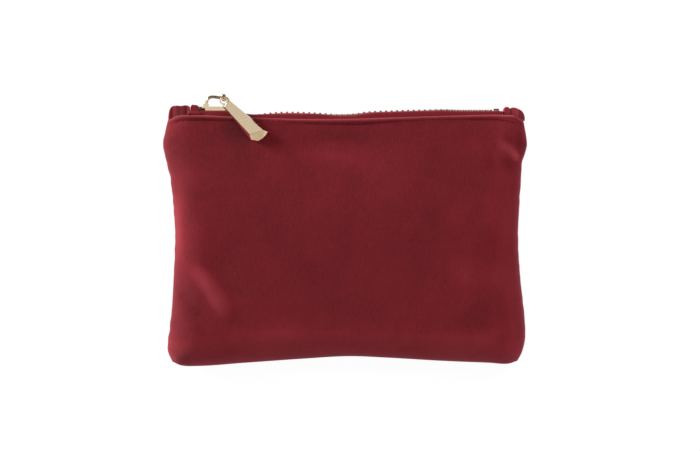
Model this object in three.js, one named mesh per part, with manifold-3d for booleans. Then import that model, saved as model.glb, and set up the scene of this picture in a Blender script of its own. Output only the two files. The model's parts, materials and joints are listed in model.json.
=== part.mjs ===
// A small velvet pouch with a metal zip across its top edge, lying on its back panel.
// Millimetres. +X runs along the zip, +Y from the base to the zip, +Z up out of the front panel.
// The origin is the middle of the flat patch that the back panel rests on.
// The most skilled feature is the metal zip: two rows of teeth that mesh at half pitch and part inside
// the slider's Y-shaped channel, with a bail, a link and a faceted pull that swing on one another.
import * as THREE from 'three';
import { ConvexGeometry } from 'three/addons/geometries/ConvexGeometry.js';
import { mergeVertices } from 'three/addons/utils/BufferGeometryUtils.js';
import Module from 'manifold-3d';

const wasm = await Module();
wasm.setup();

// Clearances
const GAP = 0.3;
const SEAM_GAP = 0.15;

// The plane of the side seams and of the zip, above the surface that the pouch lies on
const SEAM_Z = 9.5;

// The pouch's outline, read as [height, distance from the middle] down its sides and
// [place along the zip, height] along its base and its folded top edges
const LEFT_SIDE = [
  [-61.4, -84.4], [-57, -86.4], [-50, -86.4], [-40, -85.1], [-20, -83.8], [0, -83.1],
  [18, -84.2], [31, -86], [40, -88.2], [45, -89], [50, -88.2], [56.5, -86.6],
];
const RIGHT_SIDE = [
  [-61, 84.2], [-57, 86.4], [-50, 88], [-38, 87.6], [-20, 85.6], [0, 84.6],
  [15, 85.2], [29, 86.1], [36, 86.5], [40, 87.9], [45, 89], [50, 88.3], [56.5, 87.2],
];
const BASE = [
  [-84.4, -61.4], [-80.5, -63.2], [-72, -63.6], [-50, -62.1], [-20, -60], [2, -58.8],
  [20, -59.5], [48, -61.1], [70, -62], [80, -62.4], [84.2, -61],
];
const FOLD = [
  [-86.6, 56.5], [-82, 58.6], [-76, 59], [-50, 58], [-25, 57.2], [0, 57.2],
  [25, 57.9], [55, 58.8], [78, 59.1], [83, 58.6], [87.2, 56.5],
];
const POUCH_WIDTH = 173;
const POUCH_HEIGHT = 119;

// The velvet panels and the lining
const VELVET = 1.2;
const MOUTH_HALF = 8.2;
const FRONT_RISE = 3.1;
const BACK_RISE = 1.9;
const RISE_RUN = 55;
const FRONT_ROUND = 14;
const BACK_ROUND = 15;
const EDGE_POWER = 0.6;
const SEAM_ALLOWANCE = 6;
const LINING = 0.5;
const LINING_DEPTH = 2.8;
const LINING_INSET = 7.5;
const LINING_TOP = 2.4;
const LINING_WALL = 2.5;
const FOLD_HEIGHT = 0.45;

// The zip's chain: its centre line, the size of a tooth, and the cord that carries a row
const CHAIN_Y = 60.6;
const PITCH = 2.69;
const LAST_TOOTH = 71.2;
const FIRST_TOOTH = -71.5;
const TOOTH = { tip: -0.6, leg: 2.9, half: 1.2, tipHalf: 0.8, legHalf: 1.05, thick: 1.04 };
const NIB = { radius: 0.42, height: 0.2 };
const CORD = { middle: 2.1, radius: 0.72, end: 75.8 };

// The tape between the chain and the panels
const TAPE = { thick: 0.6, edge: 3.2, bend: 5.9, depth: 12, end: 76.9 };
const TAPE_BEHIND = 1.9;

// The slider, placed where it stops when the zip is closed
const SLIDER_X = -63.8;
const SLIDER = { tail: 7.8, inner: 1.5, plate: 1.1, wall: 0.8, wallFront: -4.5, lip: 0.65, overlap: 0.4 };
// The slider's shoulders and its wedge in plan, as [place along the slider, distance from its middle]
const SLIDER_SHOULDER = [[-7.2, 4.7], [-7.8, 3.2], [-7.5, 1.8], [-7.1, 0.8]];
const SLIDER_WEDGE = [[-7.2, 0.6], [-6.9, 1.15], [-6.1, 0.9], [-5, 0.42], [-4.4, 0.12]];
// Where the rows start to part inside the slider, over what length, and by how much each moves out
const SPREAD = { start: -1, run: 6.5, width: 2.4 };

// The bail over the slider, its link and the pull. The bail's wire runs from its foot at the front,
// over a crown that falls a little towards the tail, to its foot at the tail.
const BAIL = { radius: 0.7, y: 67.5 };
const BAIL_FEET = [-68, -57];
const BAIL_PATH = [
  [-68, 63.5], [-67.8, 65.6], [-66.8, 67.6], [-65, 68.2], [-62.3, 67.7], [-60, 67.5], [-58.1, 67.45],
  [-57.1, 66.6], [-57, 65.2], [-57, 63.5],
];
const LINK = { x: -59.1, inner: 1.15, strip: 0.65, width: 1.7, tabZ: 20.1 };
const EYE = { hole: 1.35, rim: 0.65, thick: 1.2 };
const PULL_AXIS = Math.atan2(-0.68, 0.733);
const PULL = { neck: 1.7, bottomZ: 19.3, topZ: 21.1, endZ: 21.7 };
// The pull's under side and its face, as [distance from the neck, distance from the middle line]
const PULL_UNDER = [
  [0, -2.15], [0, 2.15], [24.4, 3.6], [24.7, 1.4], [24.6, -0.6], [23.9, -2.9], [20.9, -4.9],
];
const PULL_FACE = [[0.4, -1.9], [0.4, 1.9]];
const PULL_FACE_END = [[18.8, -3.3], [22.2, 2.6]];

// The stops and the velvet tabs over the zip's ends
const TOP_STOP = { x: -73.7, length: 1.9 };
const BOTTOM_STOP = { x: 73.9, length: 2.6 };
const END_TAB = { inner: 77.3, wall: 1.6, behind: 1.5, low: -3.2 };

const MATERIALS = {
  velvet: new THREE.MeshStandardMaterial({ color: 0x691e26, roughness: 0.95, metalness: 0 }),
  lining: new THREE.MeshStandardMaterial({ color: 0x4a161c, roughness: 0.7, metalness: 0 }),
  tape: new THREE.MeshStandardMaterial({ color: 0x5c1a22, roughness: 0.9, metalness: 0 }),
  gold: new THREE.MeshStandardMaterial({ color: 0xd8c49a, roughness: 0.25, metalness: 1 }),
};

// Small mathematics

const clamp = (value) => Math.min(Math.max(value, 0), 1);
const smooth = (value) => clamp(value) ** 2 * (3 - 2 * clamp(value));
const mix = (a, b, share) => a + (b - a) * share;

// A smooth curve through a few named points, read at one place
function curveThrough(points) {
  const places = points.map(([place]) => place);
  const values = points.map(([, value]) => value);
  const curve = new THREE.CubicInterpolant(places, values, 1);
  return (place) => curve.evaluate(place)[0];
}

const leftSide = curveThrough(LEFT_SIDE);
const rightSide = curveThrough(RIGHT_SIDE);
const base = curveThrough(BASE);
const fold = curveThrough(FOLD);

// Building closed meshes

// One closed geometry from vertices and triangles, turned outwards if it came out inside out
function closedMesh(vertices, triangles) {
  let volume = 0;
  for (const [a, b, c] of triangles) {
    volume += vertices[a].dot(new THREE.Vector3().crossVectors(vertices[b], vertices[c]));
  }
  const faces = volume > 0 ? triangles : triangles.map(([a, b, c]) => [a, c, b]);
  const geometry = new THREE.BufferGeometry();
  geometry.setAttribute('position', new THREE.Float32BufferAttribute(vertices.flatMap((v) => v.toArray()), 3));
  geometry.setIndex(faces.flat());
  return geometry;
}

// The places round the edge of a grid of columns by rows, once round
function rimOf(columns, rows) {
  const rim = [];
  for (let i = 0; i < columns - 1; i++) rim.push([i, 0]);
  for (let j = 0; j < rows - 1; j++) rim.push([columns - 1, j]);
  for (let i = columns - 1; i > 0; i--) rim.push([i, rows - 1]);
  for (let j = rows - 1; j > 0; j--) rim.push([0, j]);
  return rim;
}

// A sheet with a thickness: an outer and an inner grid of points, joined round the edge through any
// further loops of points, such as a turned-in seam allowance
function sheet(outer, inner, loops = []) {
  const rows = outer.length;
  const columns = outer[0].length;
  const vertices = [...outer.flat(), ...inner.flat(), ...loops.flat()];
  const triangles = [];
  const outerAt = (i, j) => j * columns + i;
  const innerAt = (i, j) => rows * columns + outerAt(i, j);
  for (let j = 0; j < rows - 1; j++) {
    for (let i = 0; i < columns - 1; i++) {
      const [a, b, c, d] = [outerAt(i, j), outerAt(i + 1, j), outerAt(i + 1, j + 1), outerAt(i, j + 1)];
      triangles.push([a, b, c], [a, c, d]);
      const [e, f, g, h] = [innerAt(i, j), innerAt(i + 1, j), innerAt(i + 1, j + 1), innerAt(i, j + 1)];
      triangles.push([e, g, f], [e, h, g]);
    }
  }
  const rim = rimOf(columns, rows);
  const rings = [rim.map(([i, j]) => outerAt(i, j))];
  loops.forEach((loop, k) => rings.push(loop.map((_, n) => 2 * rows * columns + k * rim.length + n)));
  rings.push(rim.map(([i, j]) => innerAt(i, j)));
  for (let k = 0; k < rings.length - 1; k++) {
    for (let n = 0; n < rim.length; n++) {
      const next = (n + 1) % rim.length;
      triangles.push([rings[k + 1][n], rings[k + 1][next], rings[k][next]]);
      triangles.push([rings[k + 1][n], rings[k][next], rings[k][n]]);
    }
  }
  return closedMesh(vertices, triangles);
}

// A solid bar through a row of convex sections with equal numbers of points
function bar(sections) {
  const sides = sections[0].length;
  const triangles = [];
  for (let k = 0; k < sections.length - 1; k++) {
    for (let n = 0; n < sides; n++) {
      const next = (n + 1) % sides;
      const [a, b] = [k * sides + n, k * sides + next];
      triangles.push([a, b, b + sides], [a, b + sides, a + sides]);
    }
  }
  const last = (sections.length - 1) * sides;
  for (let n = 1; n < sides - 1; n++) {
    triangles.push([0, n + 1, n], [last, last + n, last + n + 1]);
  }
  return closedMesh(sections.flat(), triangles);
}

function toSolid(geometry) {
  const bare = geometry.clone();
  bare.deleteAttribute('normal');
  bare.deleteAttribute('uv');
  const merged = mergeVertices(bare, 1e-5);
  return new wasm.Manifold(new wasm.Mesh({
    numProp: 3,
    vertProperties: new Float32Array(merged.attributes.position.array),
    triVerts: new Uint32Array(merged.index.array),
  }));
}

function toGeometry(solid) {
  const { vertProperties, triVerts } = solid.getMesh();
  const geometry = new THREE.BufferGeometry();
  geometry.setAttribute('position', new THREE.BufferAttribute(vertProperties, 3));
  geometry.setIndex(new THREE.BufferAttribute(triVerts, 1));
  return geometry;
}

const joined = (geometries) => geometries.map(toSolid).reduce((whole, solid) => whole.add(solid));

// A shape drawn in the plane across the zip, extruded along X and centred on it
function alongZip(shape, length) {
  const geometry = new THREE.ExtrudeGeometry(shape, { depth: length, bevelEnabled: false, curveSegments: 4 });
  return geometry.translate(0, 0, -length / 2).rotateY(-Math.PI / 2);
}

// A shape drawn in the slider's plan, extruded between two heights above the zip's plane
function abovePlan(shape, low, high, bevel = 0) {
  const geometry = new THREE.ExtrudeGeometry(shape, {
    depth: high - low - 2 * bevel,
    bevelEnabled: bevel > 0,
    bevelThickness: bevel,
    bevelSize: bevel,
    bevelOffset: -bevel,
    bevelSegments: 1,
    curveSegments: 5,
  });
  return geometry.translate(0, 0, low + bevel).rotateX(-Math.PI / 2);
}

function box(low, high) {
  const size = high.map((value, n) => value - low[n]);
  const middle = high.map((value, n) => (value + low[n]) / 2);
  return new THREE.BoxGeometry(...size).translate(...middle);
}

// A piece of the back half is the same piece of the front half, mirrored in the seam plane
function mirrored(geometry) {
  const copy = geometry.clone().scale(1, 1, -1);
  const index = [...copy.index.array];
  for (let n = 0; n < index.length; n += 3) [index[n], index[n + 1]] = [index[n + 1], index[n]];
  copy.setIndex(index);
  return copy;
}

// The pouch's surfaces, in heights above the seam plane

// The outline filled in smoothly: across runs 0 to 1 from left to right, up 0 to 1 from base to fold
function placeInOutline(across, up) {
  const sidePoint = (side, points) => {
    const y = mix(points[0][0], points.at(-1)[0], up);
    return new THREE.Vector2(side(y), y);
  };
  const edgePoint = (edge, points) => {
    const x = mix(points[0][0], points.at(-1)[0], across);
    return new THREE.Vector2(x, edge(x));
  };
  const corner = (points, end) => new THREE.Vector2(...points.at(end));
  const between = (a, b, share) => a.clone().lerp(b, share);
  const bySides = between(sidePoint(leftSide, LEFT_SIDE), sidePoint(rightSide, RIGHT_SIDE), across);
  const byEdges = between(edgePoint(base, BASE), edgePoint(fold, FOLD), up);
  const low = between(corner(BASE, 0), corner(BASE, -1), across);
  const high = between(corner(FOLD, 0), corner(FOLD, -1), across);
  return bySides.add(byEdges).sub(between(low, high, up));
}

// How far a panel has risen at a distance from a seam
const roundedEdge = (distance, run) => (1 - (1 - clamp(distance / run)) ** 2) ** EDGE_POWER;

function panelHeight(across, up, round, rise) {
  const fromSide = Math.min(across, 1 - across) * POUCH_WIDTH;
  const plateau = MOUTH_HALF + rise * smooth(((1 - up) * POUCH_HEIGHT) / RISE_RUN);
  return plateau * roundedEdge(fromSide, round) * roundedEdge(up * POUCH_HEIGHT, round);
}

const frontHeight = (across, up) => panelHeight(across, up, FRONT_ROUND, FRONT_RISE);
// The back lies on its surface, so it is pressed flat there
const backHeight = (across, up) => Math.min(panelHeight(across, up, BACK_ROUND, BACK_RISE), SEAM_Z);

// The height of a folded top edge at a place along the zip
function mouthHeight(x, height) {
  const across = (x - FOLD[0][0]) / (FOLD.at(-1)[0] - FOLD[0][0]);
  return height(clamp(across), 1);
}

const SIDE_STEPS = [0, 1.2, 3, 6, 10, 16, 26, 40, 58, 76];
const COLUMNS = [
  ...SIDE_STEPS.map((step) => step / POUCH_WIDTH),
  ...SIDE_STEPS.map((step) => 1 - step / POUCH_WIDTH).reverse(),
];
const ROWS = [0, 1.2, 3, 6, 10, 16, 28, 44, 60, 76, 90, 101, 109, 115, 119].map((step) => step / POUCH_HEIGHT);

// A point of a surface, and the direction out of it
function surfacePoint(height, across, up) {
  const place = placeInOutline(across, up);
  return new THREE.Vector3(place.x, place.y, height(across, up));
}

function surfaceNormal(height, across, up) {
  const step = 0.0015;
  const [left, right] = [Math.max(across - step, 0), Math.min(across + step, 1)];
  const [low, high] = [Math.max(up - step, 0), Math.min(up + step, 1)];
  const alongX = surfacePoint(height, right, up).sub(surfacePoint(height, left, up));
  const alongY = surfacePoint(height, across, high).sub(surfacePoint(height, across, low));
  return alongX.cross(alongY).normalize();
}

const grid = (columns, rows, point) => rows.map((up) => columns.map((across) => point(across, up)));

// One velvet panel: its outer face, its inner face, the seam allowance turned in along its sides and
// base, and the rounded fold along its top edge
function velvetPanel(height) {
  const outer = grid(COLUMNS, ROWS, (across, up) => {
    const point = surfacePoint(height, across, up);
    point.z = Math.max(point.z, SEAM_GAP);
    return point;
  });
  const inner = grid(COLUMNS, ROWS, (across, up) => {
    const normal = surfaceNormal(height, across, up);
    const point = surfacePoint(height, across, up).addScaledVector(normal, -VELVET);
    point.z = Math.max(point.z, SEAM_GAP + VELVET);
    return point;
  });
  const loop = (share) => rimOf(COLUMNS.length, ROWS.length).map(([i, j]) => {
    const [across, up] = [COLUMNS[i], ROWS[j]];
    if (up === 1) {
      return outer[j][i].clone().lerp(inner[j][i], share).add(new THREE.Vector3(0, FOLD_HEIGHT, 0));
    }
    const allowance = mix(SEAM_ALLOWANCE, VELVET, smooth((up - 0.8) * 5));
    const [inX, inY] = [allowance / POUCH_WIDTH, allowance / POUCH_HEIGHT];
    const tip = placeInOutline(mix(inX, 1 - inX, across), mix(inY, 1, up));
    return new THREE.Vector3(tip.x, tip.y, SEAM_GAP + share * VELVET);
  });
  return sheet(outer, inner, [loop(0.1), loop(0.8)]);
}

// One half of the lining, which hangs inside its panel from the zip tape
function liningHalf(height) {
  const [inX, inY] = [LINING_INSET / POUCH_WIDTH, LINING_INSET / POUCH_HEIGHT];
  const topUp = 1 - LINING_TOP / POUCH_HEIGHT;
  const [width, length] = [POUCH_WIDTH - 2 * LINING_INSET, POUCH_HEIGHT - LINING_INSET - LINING_TOP];
  const sideSteps = [0, 0.25, 1.2, 3, 8, 20, 38, 58, 75].map((step) => step / width);
  const columns = [...sideSteps, ...sideSteps.map((step) => 1 - step).reverse()];
  const rows = [0, 0.25, 1.2, 3, 8, 20, 38, 58, 78, 96, length].map((step) => step / length);
  const wall = (distance) => Math.sqrt(1 - (1 - clamp(distance / LINING_WALL)) ** 2);
  const outsideHeight = (across, up) => {
    const fromSide = Math.min(across, 1 - across) * width;
    const belowPanel = height(mix(inX, 1 - inX, across), mix(inY, topUp, up)) - LINING_DEPTH;
    return belowPanel * wall(fromSide) * wall(up * length);
  };
  const point = (depth) => (across, up) => {
    const shrink = depth / width;
    const place = placeInOutline(mix(inX + shrink, 1 - inX - shrink, across), mix(inY + shrink, topUp, up));
    return new THREE.Vector3(place.x, place.y, Math.max(outsideHeight(across, up) - depth, SEAM_GAP));
  };
  return sheet(grid(columns, rows, point(0)), grid(columns, rows, point(LINING)));
}

// The zip

// How far a row has moved out from the closed chain, where the slider's channel parts the rows
const rowSpread = (x) => SPREAD.width * smooth((SPREAD.start - (x - SLIDER_X)) / SPREAD.run);
// Places along the zip that follow the curve where the rows part
const PARTING = [-72, -70.5, -69, -67.5, -66, -64.6];
const rowTurn = (x) => Math.atan2(rowSpread(x + 0.1) - rowSpread(x - 0.1), 0.2);

function toothSolid() {
  const { tip, leg, half, tipHalf, legHalf, thick } = TOOTH;
  const profile = new THREE.Shape([
    new THREE.Vector2(tip, -tipHalf), new THREE.Vector2(tip + 0.5, -half), new THREE.Vector2(leg, -legHalf),
    new THREE.Vector2(leg, legHalf), new THREE.Vector2(tip + 0.5, half), new THREE.Vector2(tip, tipHalf),
  ]);
  // The head's nib enters the hollow in the head of the next tooth of the other row
  const nib = new THREE.ConeGeometry(NIB.radius, NIB.height, 4).rotateZ(-Math.PI / 2);
  const raised = nib.clone().translate(thick / 2 + NIB.height / 2 - 0.01, 0, 0);
  const hollow = nib.clone().translate(-thick / 2 + NIB.height / 2 - 0.01, 0, 0);
  return toSolid(alongZip(profile, thick)).add(toSolid(raised)).subtract(toSolid(hollow));
}

function cordBar() {
  const stations = [-CORD.end, ...PARTING, CORD.end];
  const sections = stations.map((x) => Array.from({ length: 6 }, (_, n) => {
    const angle = (n * Math.PI) / 3;
    const across = CORD.middle + rowSpread(x) + CORD.radius * Math.cos(angle);
    return new THREE.Vector3(x, CORD.radius * Math.sin(angle), across);
  }));
  return bar(sections);
}

// One row of teeth, clamped along the cord at its tape's edge. The rows are half a pitch apart.
function teethRow(lastTooth) {
  const tooth = toothSolid();
  let row = toSolid(cordBar());
  for (let x = lastTooth; x >= FIRST_TOOTH; x -= PITCH) {
    const turn = (-rowTurn(x) * 180) / Math.PI;
    row = row.add(tooth.rotate([0, turn, 0]).translate([x, 0, rowSpread(x)]));
  }
  return toGeometry(row);
}

// One tape: flat beside the chain, then bent down behind the panel's fold to its sewn hem
function zipTape(height) {
  const stations = [-TAPE.end, -73.5, ...PARTING, -50, -25, 0, 25, 50, 64, TAPE.end];
  const half = TAPE.thick / 2;
  const profile = (x, side) => {
    const behind = (y) => {
      const up = clamp((y - BASE[0][1]) / (fold(x) - BASE[0][1]));
      const across = clamp((x - FOLD[0][0]) / (FOLD.at(-1)[0] - FOLD[0][0]));
      return height(across, up) - TAPE_BEHIND;
    };
    const hem = CHAIN_Y - TAPE.depth;
    const edge = TAPE.edge + rowSpread(x) + 0.7 * Math.abs(Math.sin(rowTurn(x)));
    return [
      [edge, half * side], [TAPE.bend, half * side],
      [behind(CHAIN_Y) + half * side * 0.8, -0.9 + half * side * 0.6],
      [behind(CHAIN_Y) + half * side, -2.6], [behind(CHAIN_Y - 7) + half * side, -7],
      [behind(hem) + half * side, -TAPE.depth],
    ].map(([across, up]) => new THREE.Vector3(x, CHAIN_Y + up, across));
  };
  return sheet(stations.map((x) => profile(x, 1)), stations.map((x) => profile(x, -1)));
}

// A small clamp closed round one cord above the last tooth
function topStop() {
  const clampShape = new THREE.Shape();
  const [back, inside, front, half, slot] = [0.45, 1.05, 2.9, 1.45, 1.02];
  clampShape.moveTo(back, -half + 0.3).lineTo(back + 0.3, -half).lineTo(front, -half).lineTo(front, -slot);
  clampShape.lineTo(inside, -slot).lineTo(inside, slot).lineTo(front, slot).lineTo(front, half);
  clampShape.lineTo(back + 0.3, half).lineTo(back, half - 0.3);
  return alongZip(clampShape, TOP_STOP.length);
}

// An H-shaped clamp that holds both cords together below the last teeth
function bottomStop() {
  const [wide, web, high, slot] = [3.1, 0.95, 1.6, 1.02];
  const outline = new THREE.Shape();
  outline.moveTo(-wide + 0.3, high).lineTo(-wide, high - 0.3).lineTo(-wide, slot).lineTo(-web, slot);
  outline.lineTo(-web, -slot).lineTo(-wide, -slot).lineTo(-wide, -high + 0.3).lineTo(-wide + 0.3, -high);
  outline.lineTo(wide - 0.3, -high).lineTo(wide, -high + 0.3).lineTo(wide, -slot).lineTo(web, -slot);
  outline.lineTo(web, slot).lineTo(wide, slot).lineTo(wide, high - 0.3).lineTo(wide - 0.3, high);
  return alongZip(outline, BOTTOM_STOP.length);
}

// The folded piece of velvet over one end of the zip. side is -1 on the left and 1 on the right,
// outer is where its outer end lies, and tall is how high it stands above the chain.
function endTab(side, outer, tall) {
  const stations = [0, 0.25, 0.5, 0.72, 0.9, 1];
  const outline = [[1, 0], [1, 0.35], [0.82, 0.72], [0.45, 0.96], [0, 1]];
  const profile = (share, depth) => {
    const x = side * mix(END_TAB.inner, outer, share);
    const wide = (height) => Math.max(mouthHeight(x + 1.5 * side, height) - END_TAB.behind, 1.9) - depth;
    const low = mix(END_TAB.low, fold(x) + 1 - CHAIN_Y, smooth((share - 0.4) * 4));
    const high = mix(tall, tall - 1.5, smooth((share - 0.6) * 2.5)) - depth;
    const half = (height) => outline.map(([across, up]) => [across * wide(height), mix(low, high, up)]);
    const back = half(backHeight).slice(0, -1).map(([across, up]) => [-across, up]);
    const section = [...half(frontHeight), ...back.reverse()];
    return section.map(([across, up]) => new THREE.Vector3(x, CHAIN_Y + up, across));
  };
  const outside = stations.map((share) => profile(share, 0));
  return sheet(outside, stations.map((share) => profile(share, END_TAB.wall)));
}

// The slider and its pull

// Half the slider's width at a place along it: narrow at the tail, wide at the shoulders
function sliderHalf(x) {
  if (x > 0) return mix(4.5, 4.2, x / SLIDER.tail);
  return mix(4.5, 5.6, smooth(-x / 5));
}

// A closed shape from the points of its upper half
function symmetricShape(half) {
  const other = half.map((point) => new THREE.Vector2(point.x, -point.y)).reverse();
  return new THREE.Shape([...half, ...other].reverse());
}

function sliderOutline() {
  const sides = [7.8, 6.5, 3, 0, -1.5, -3, -4.5, -6.2].map((x) => new THREE.Vector2(x, sliderHalf(x)));
  sides[0].y -= 1;
  return symmetricShape([...sides, ...SLIDER_SHOULDER.map((point) => new THREE.Vector2(...point))]);
}

// A side wall of the slider, which turns in over the tape's edge
function sliderWall(side) {
  const places = [SLIDER.tail - 0.4, 3, 0, -1.5, -3, SLIDER.wallFront];
  const outside = places.map((x) => new THREE.Vector2(x, side * (sliderHalf(x) - 0.05)));
  const inside = places.map((x) => new THREE.Vector2(x, side * (sliderHalf(x) - SLIDER.wall))).reverse();
  return new THREE.Shape([...outside, ...inside]);
}

// The wedge that parts the two rows and ties the slider's two plates together
const sliderWedge = () => symmetricShape(SLIDER_WEDGE.map((point) => new THREE.Vector2(...point)));

function sliderBody() {
  const { inner, plate, lip, overlap } = SLIDER;
  const pieces = [
    abovePlan(sliderOutline(), inner, inner + plate, 0.25),
    abovePlan(sliderOutline(), -inner - plate, -inner, 0.25),
    abovePlan(sliderWedge(), -inner - overlap, inner + overlap),
  ];
  for (const side of [1, -1]) {
    pieces.push(abovePlan(sliderWall(side), lip, inner + overlap));
    pieces.push(abovePlan(sliderWall(side), -inner - overlap, -lip));
  }
  // Two pairs of cheeks that hold the feet of the bail
  const top = inner + plate - 0.2;
  for (const [foot, half] of [[BAIL_FEET[0], 1.3], [BAIL_FEET[1], 1.1]]) {
    for (const side of [1, -1]) {
      const across = [side * (BAIL.radius + GAP), side * (BAIL.radius + GAP + 0.8)].sort((a, b) => a - b);
      const x = foot - SLIDER_X;
      pieces.push(box([x - half, top, across[0]], [x + half, top + 1.5, across[1]]));
    }
  }
  return toGeometry(joined(pieces));
}

// The bail is one bent wire over the slider, round in section
function bail() {
  const path = new THREE.CatmullRomCurve3(BAIL_PATH.map(([x, y]) => new THREE.Vector3(x, y, 0)));
  const section = new THREE.Shape().absarc(0, 0, BAIL.radius, 0, 2 * Math.PI);
  return new THREE.ExtrudeGeometry(section, { steps: 22, curveSegments: 5, extrudePath: path });
}

// The link is a flat strip bent into a long loop round the bail's wire and the pull's eye
function pullLink() {
  const length = LINK.tabZ - SEAM_Z;
  const loop = (radius) => {
    const path = new THREE.Path();
    path.absarc(0, 0, radius, Math.PI, 2 * Math.PI).absarc(0, length, radius, 0, Math.PI).closePath();
    return path;
  };
  const outline = new THREE.Shape(loop(LINK.inner + LINK.strip).getPoints(7));
  outline.holes.push(new THREE.Path(loop(LINK.inner).getPoints(7)));
  const strip = new THREE.ExtrudeGeometry(outline, { depth: LINK.width, bevelEnabled: false });
  // From the drawing's plane to the plane across the zip, with the loop standing along +Z
  return strip.translate(0, 0, -LINK.width / 2).rotateX(Math.PI / 2).rotateZ(Math.PI / 2);
}

// The pull, drawn with its eye's centre at the origin and its length along +X: a tapered bar whose
// thickness grows to a slanted, faceted end, with a thinner neck that holds the eye
function pullTab() {
  const { neck, bottomZ, topZ, endZ } = PULL;
  const at = (height) => ([along, across]) => new THREE.Vector3(neck + along, across, height);
  const body = new ConvexGeometry([
    ...PULL_UNDER.map(at(bottomZ)), ...PULL_FACE.map(at(topZ)), ...PULL_FACE_END.map(at(endZ)),
  ]);
  const rimRadius = EYE.hole + EYE.rim;
  const eyeLow = LINK.tabZ - EYE.thick / 2;
  const upright = (geometry) => geometry.rotateX(Math.PI / 2).translate(0, 0, LINK.tabZ);
  const rim = upright(new THREE.CylinderGeometry(rimRadius, rimRadius, EYE.thick, 20));
  const hole = upright(new THREE.CylinderGeometry(EYE.hole, EYE.hole, EYE.thick * 2, 16));
  const bridge = box([0.6, -rimRadius + 0.25, eyeLow], [neck + 0.8, rimRadius - 0.25, eyeLow + EYE.thick]);
  return toGeometry(joined([rim, bridge]).subtract(toSolid(hole)).add(toSolid(body)));
}

// The assembly

const pouch = new THREE.Group();
const seamPlane = new THREE.Group();
seamPlane.position.z = SEAM_Z;
const zipLine = new THREE.Group();
zipLine.position.y = CHAIN_Y;
seamPlane.add(zipLine);
pouch.add(seamPlane);

function add(group, name, geometry, material) {
  const mesh = new THREE.Mesh(geometry, material);
  mesh.name = name;
  group.add(mesh);
  return mesh;
}

add(seamPlane, 'front_panel', velvetPanel(frontHeight), MATERIALS.velvet);
add(seamPlane, 'back_panel', mirrored(velvetPanel(backHeight)), MATERIALS.velvet);
add(seamPlane, 'front_lining', liningHalf(frontHeight), MATERIALS.lining);
add(seamPlane, 'back_lining', mirrored(liningHalf(backHeight)), MATERIALS.lining);

add(seamPlane, 'front_zip_tape', zipTape(frontHeight), MATERIALS.tape);
add(seamPlane, 'back_zip_tape', mirrored(zipTape(backHeight)), MATERIALS.tape);
add(seamPlane, 'left_zip_end_tab', endTab(-1, 86.3, 3.3), MATERIALS.velvet);
add(seamPlane, 'right_zip_end_tab', endTab(1, 87, 2.7), MATERIALS.velvet);

add(zipLine, 'front_zip_teeth', teethRow(LAST_TOOTH), MATERIALS.gold);
add(zipLine, 'back_zip_teeth', mirrored(teethRow(LAST_TOOTH - PITCH / 2)), MATERIALS.gold);

const stopSpread = rowSpread(TOP_STOP.x);
const frontStop = add(zipLine, 'front_top_stop', topStop(), MATERIALS.gold);
frontStop.position.set(TOP_STOP.x, 0, stopSpread);
const backStop = add(zipLine, 'back_top_stop', topStop(), MATERIALS.gold);
backStop.position.set(TOP_STOP.x, 0, -stopSpread);
backStop.rotation.y = Math.PI;
const endStop = add(zipLine, 'bottom_stop', bottomStop(), MATERIALS.gold);
endStop.position.x = BOTTOM_STOP.x;

const slider = add(zipLine, 'slider_body', sliderBody(), MATERIALS.gold);
slider.position.x = SLIDER_X;
add(seamPlane, 'slider_bail', bail(), MATERIALS.gold);
const link = add(seamPlane, 'pull_link', pullLink(), MATERIALS.gold);
link.position.set(LINK.x, BAIL.y, 0);

const pull = add(pouch, 'pull_tab', pullTab(), MATERIALS.gold);
pull.position.set(LINK.x, BAIL.y - EYE.hole - EYE.rim / 2, 0);
pull.rotation.z = PULL_AXIS;

export default pouch;
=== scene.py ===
import json
import math

import bmesh
import bpy
import numpy as np
from bpy.props import FloatProperty, FloatVectorProperty, IntProperty, PointerProperty
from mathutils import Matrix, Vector, noise

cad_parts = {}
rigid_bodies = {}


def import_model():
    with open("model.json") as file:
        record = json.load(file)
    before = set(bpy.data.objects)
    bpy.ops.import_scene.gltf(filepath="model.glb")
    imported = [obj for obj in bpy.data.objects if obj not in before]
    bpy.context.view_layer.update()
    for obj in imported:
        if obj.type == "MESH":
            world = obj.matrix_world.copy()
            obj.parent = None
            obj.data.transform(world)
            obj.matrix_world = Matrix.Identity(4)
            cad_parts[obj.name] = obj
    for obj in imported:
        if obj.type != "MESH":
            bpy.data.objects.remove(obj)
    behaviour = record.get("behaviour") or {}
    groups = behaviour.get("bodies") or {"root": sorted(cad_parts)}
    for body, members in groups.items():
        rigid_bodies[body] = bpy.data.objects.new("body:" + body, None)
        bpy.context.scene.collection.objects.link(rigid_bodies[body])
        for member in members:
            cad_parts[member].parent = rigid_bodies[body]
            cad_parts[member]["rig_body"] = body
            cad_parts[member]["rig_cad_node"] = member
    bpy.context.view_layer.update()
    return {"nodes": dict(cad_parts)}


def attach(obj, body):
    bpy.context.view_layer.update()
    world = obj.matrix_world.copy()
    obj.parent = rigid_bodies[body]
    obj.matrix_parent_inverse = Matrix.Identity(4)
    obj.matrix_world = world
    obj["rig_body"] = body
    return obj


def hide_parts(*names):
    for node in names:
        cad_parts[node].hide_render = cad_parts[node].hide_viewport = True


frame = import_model()

bl_info = {
    "name": "Velvet pouch",
    "version": (1, 0, 0),
    "blender": (4, 5, 0),
    "location": "3D View > Sidebar > Pouch",
    "description": "Models a small velvet zip pouch that lies on its back panel",
    "category": "Object",
}

# Lengths are in millimetres until a mesh is made. +X runs along the zip, +Y from the base to the zip,
# and +Z up out of the front panel. The pouch lies on z = 0.
MM = 0.001
SEAM_Z = 9.5
SIDES = (("front", 1), ("back", -1))

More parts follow.
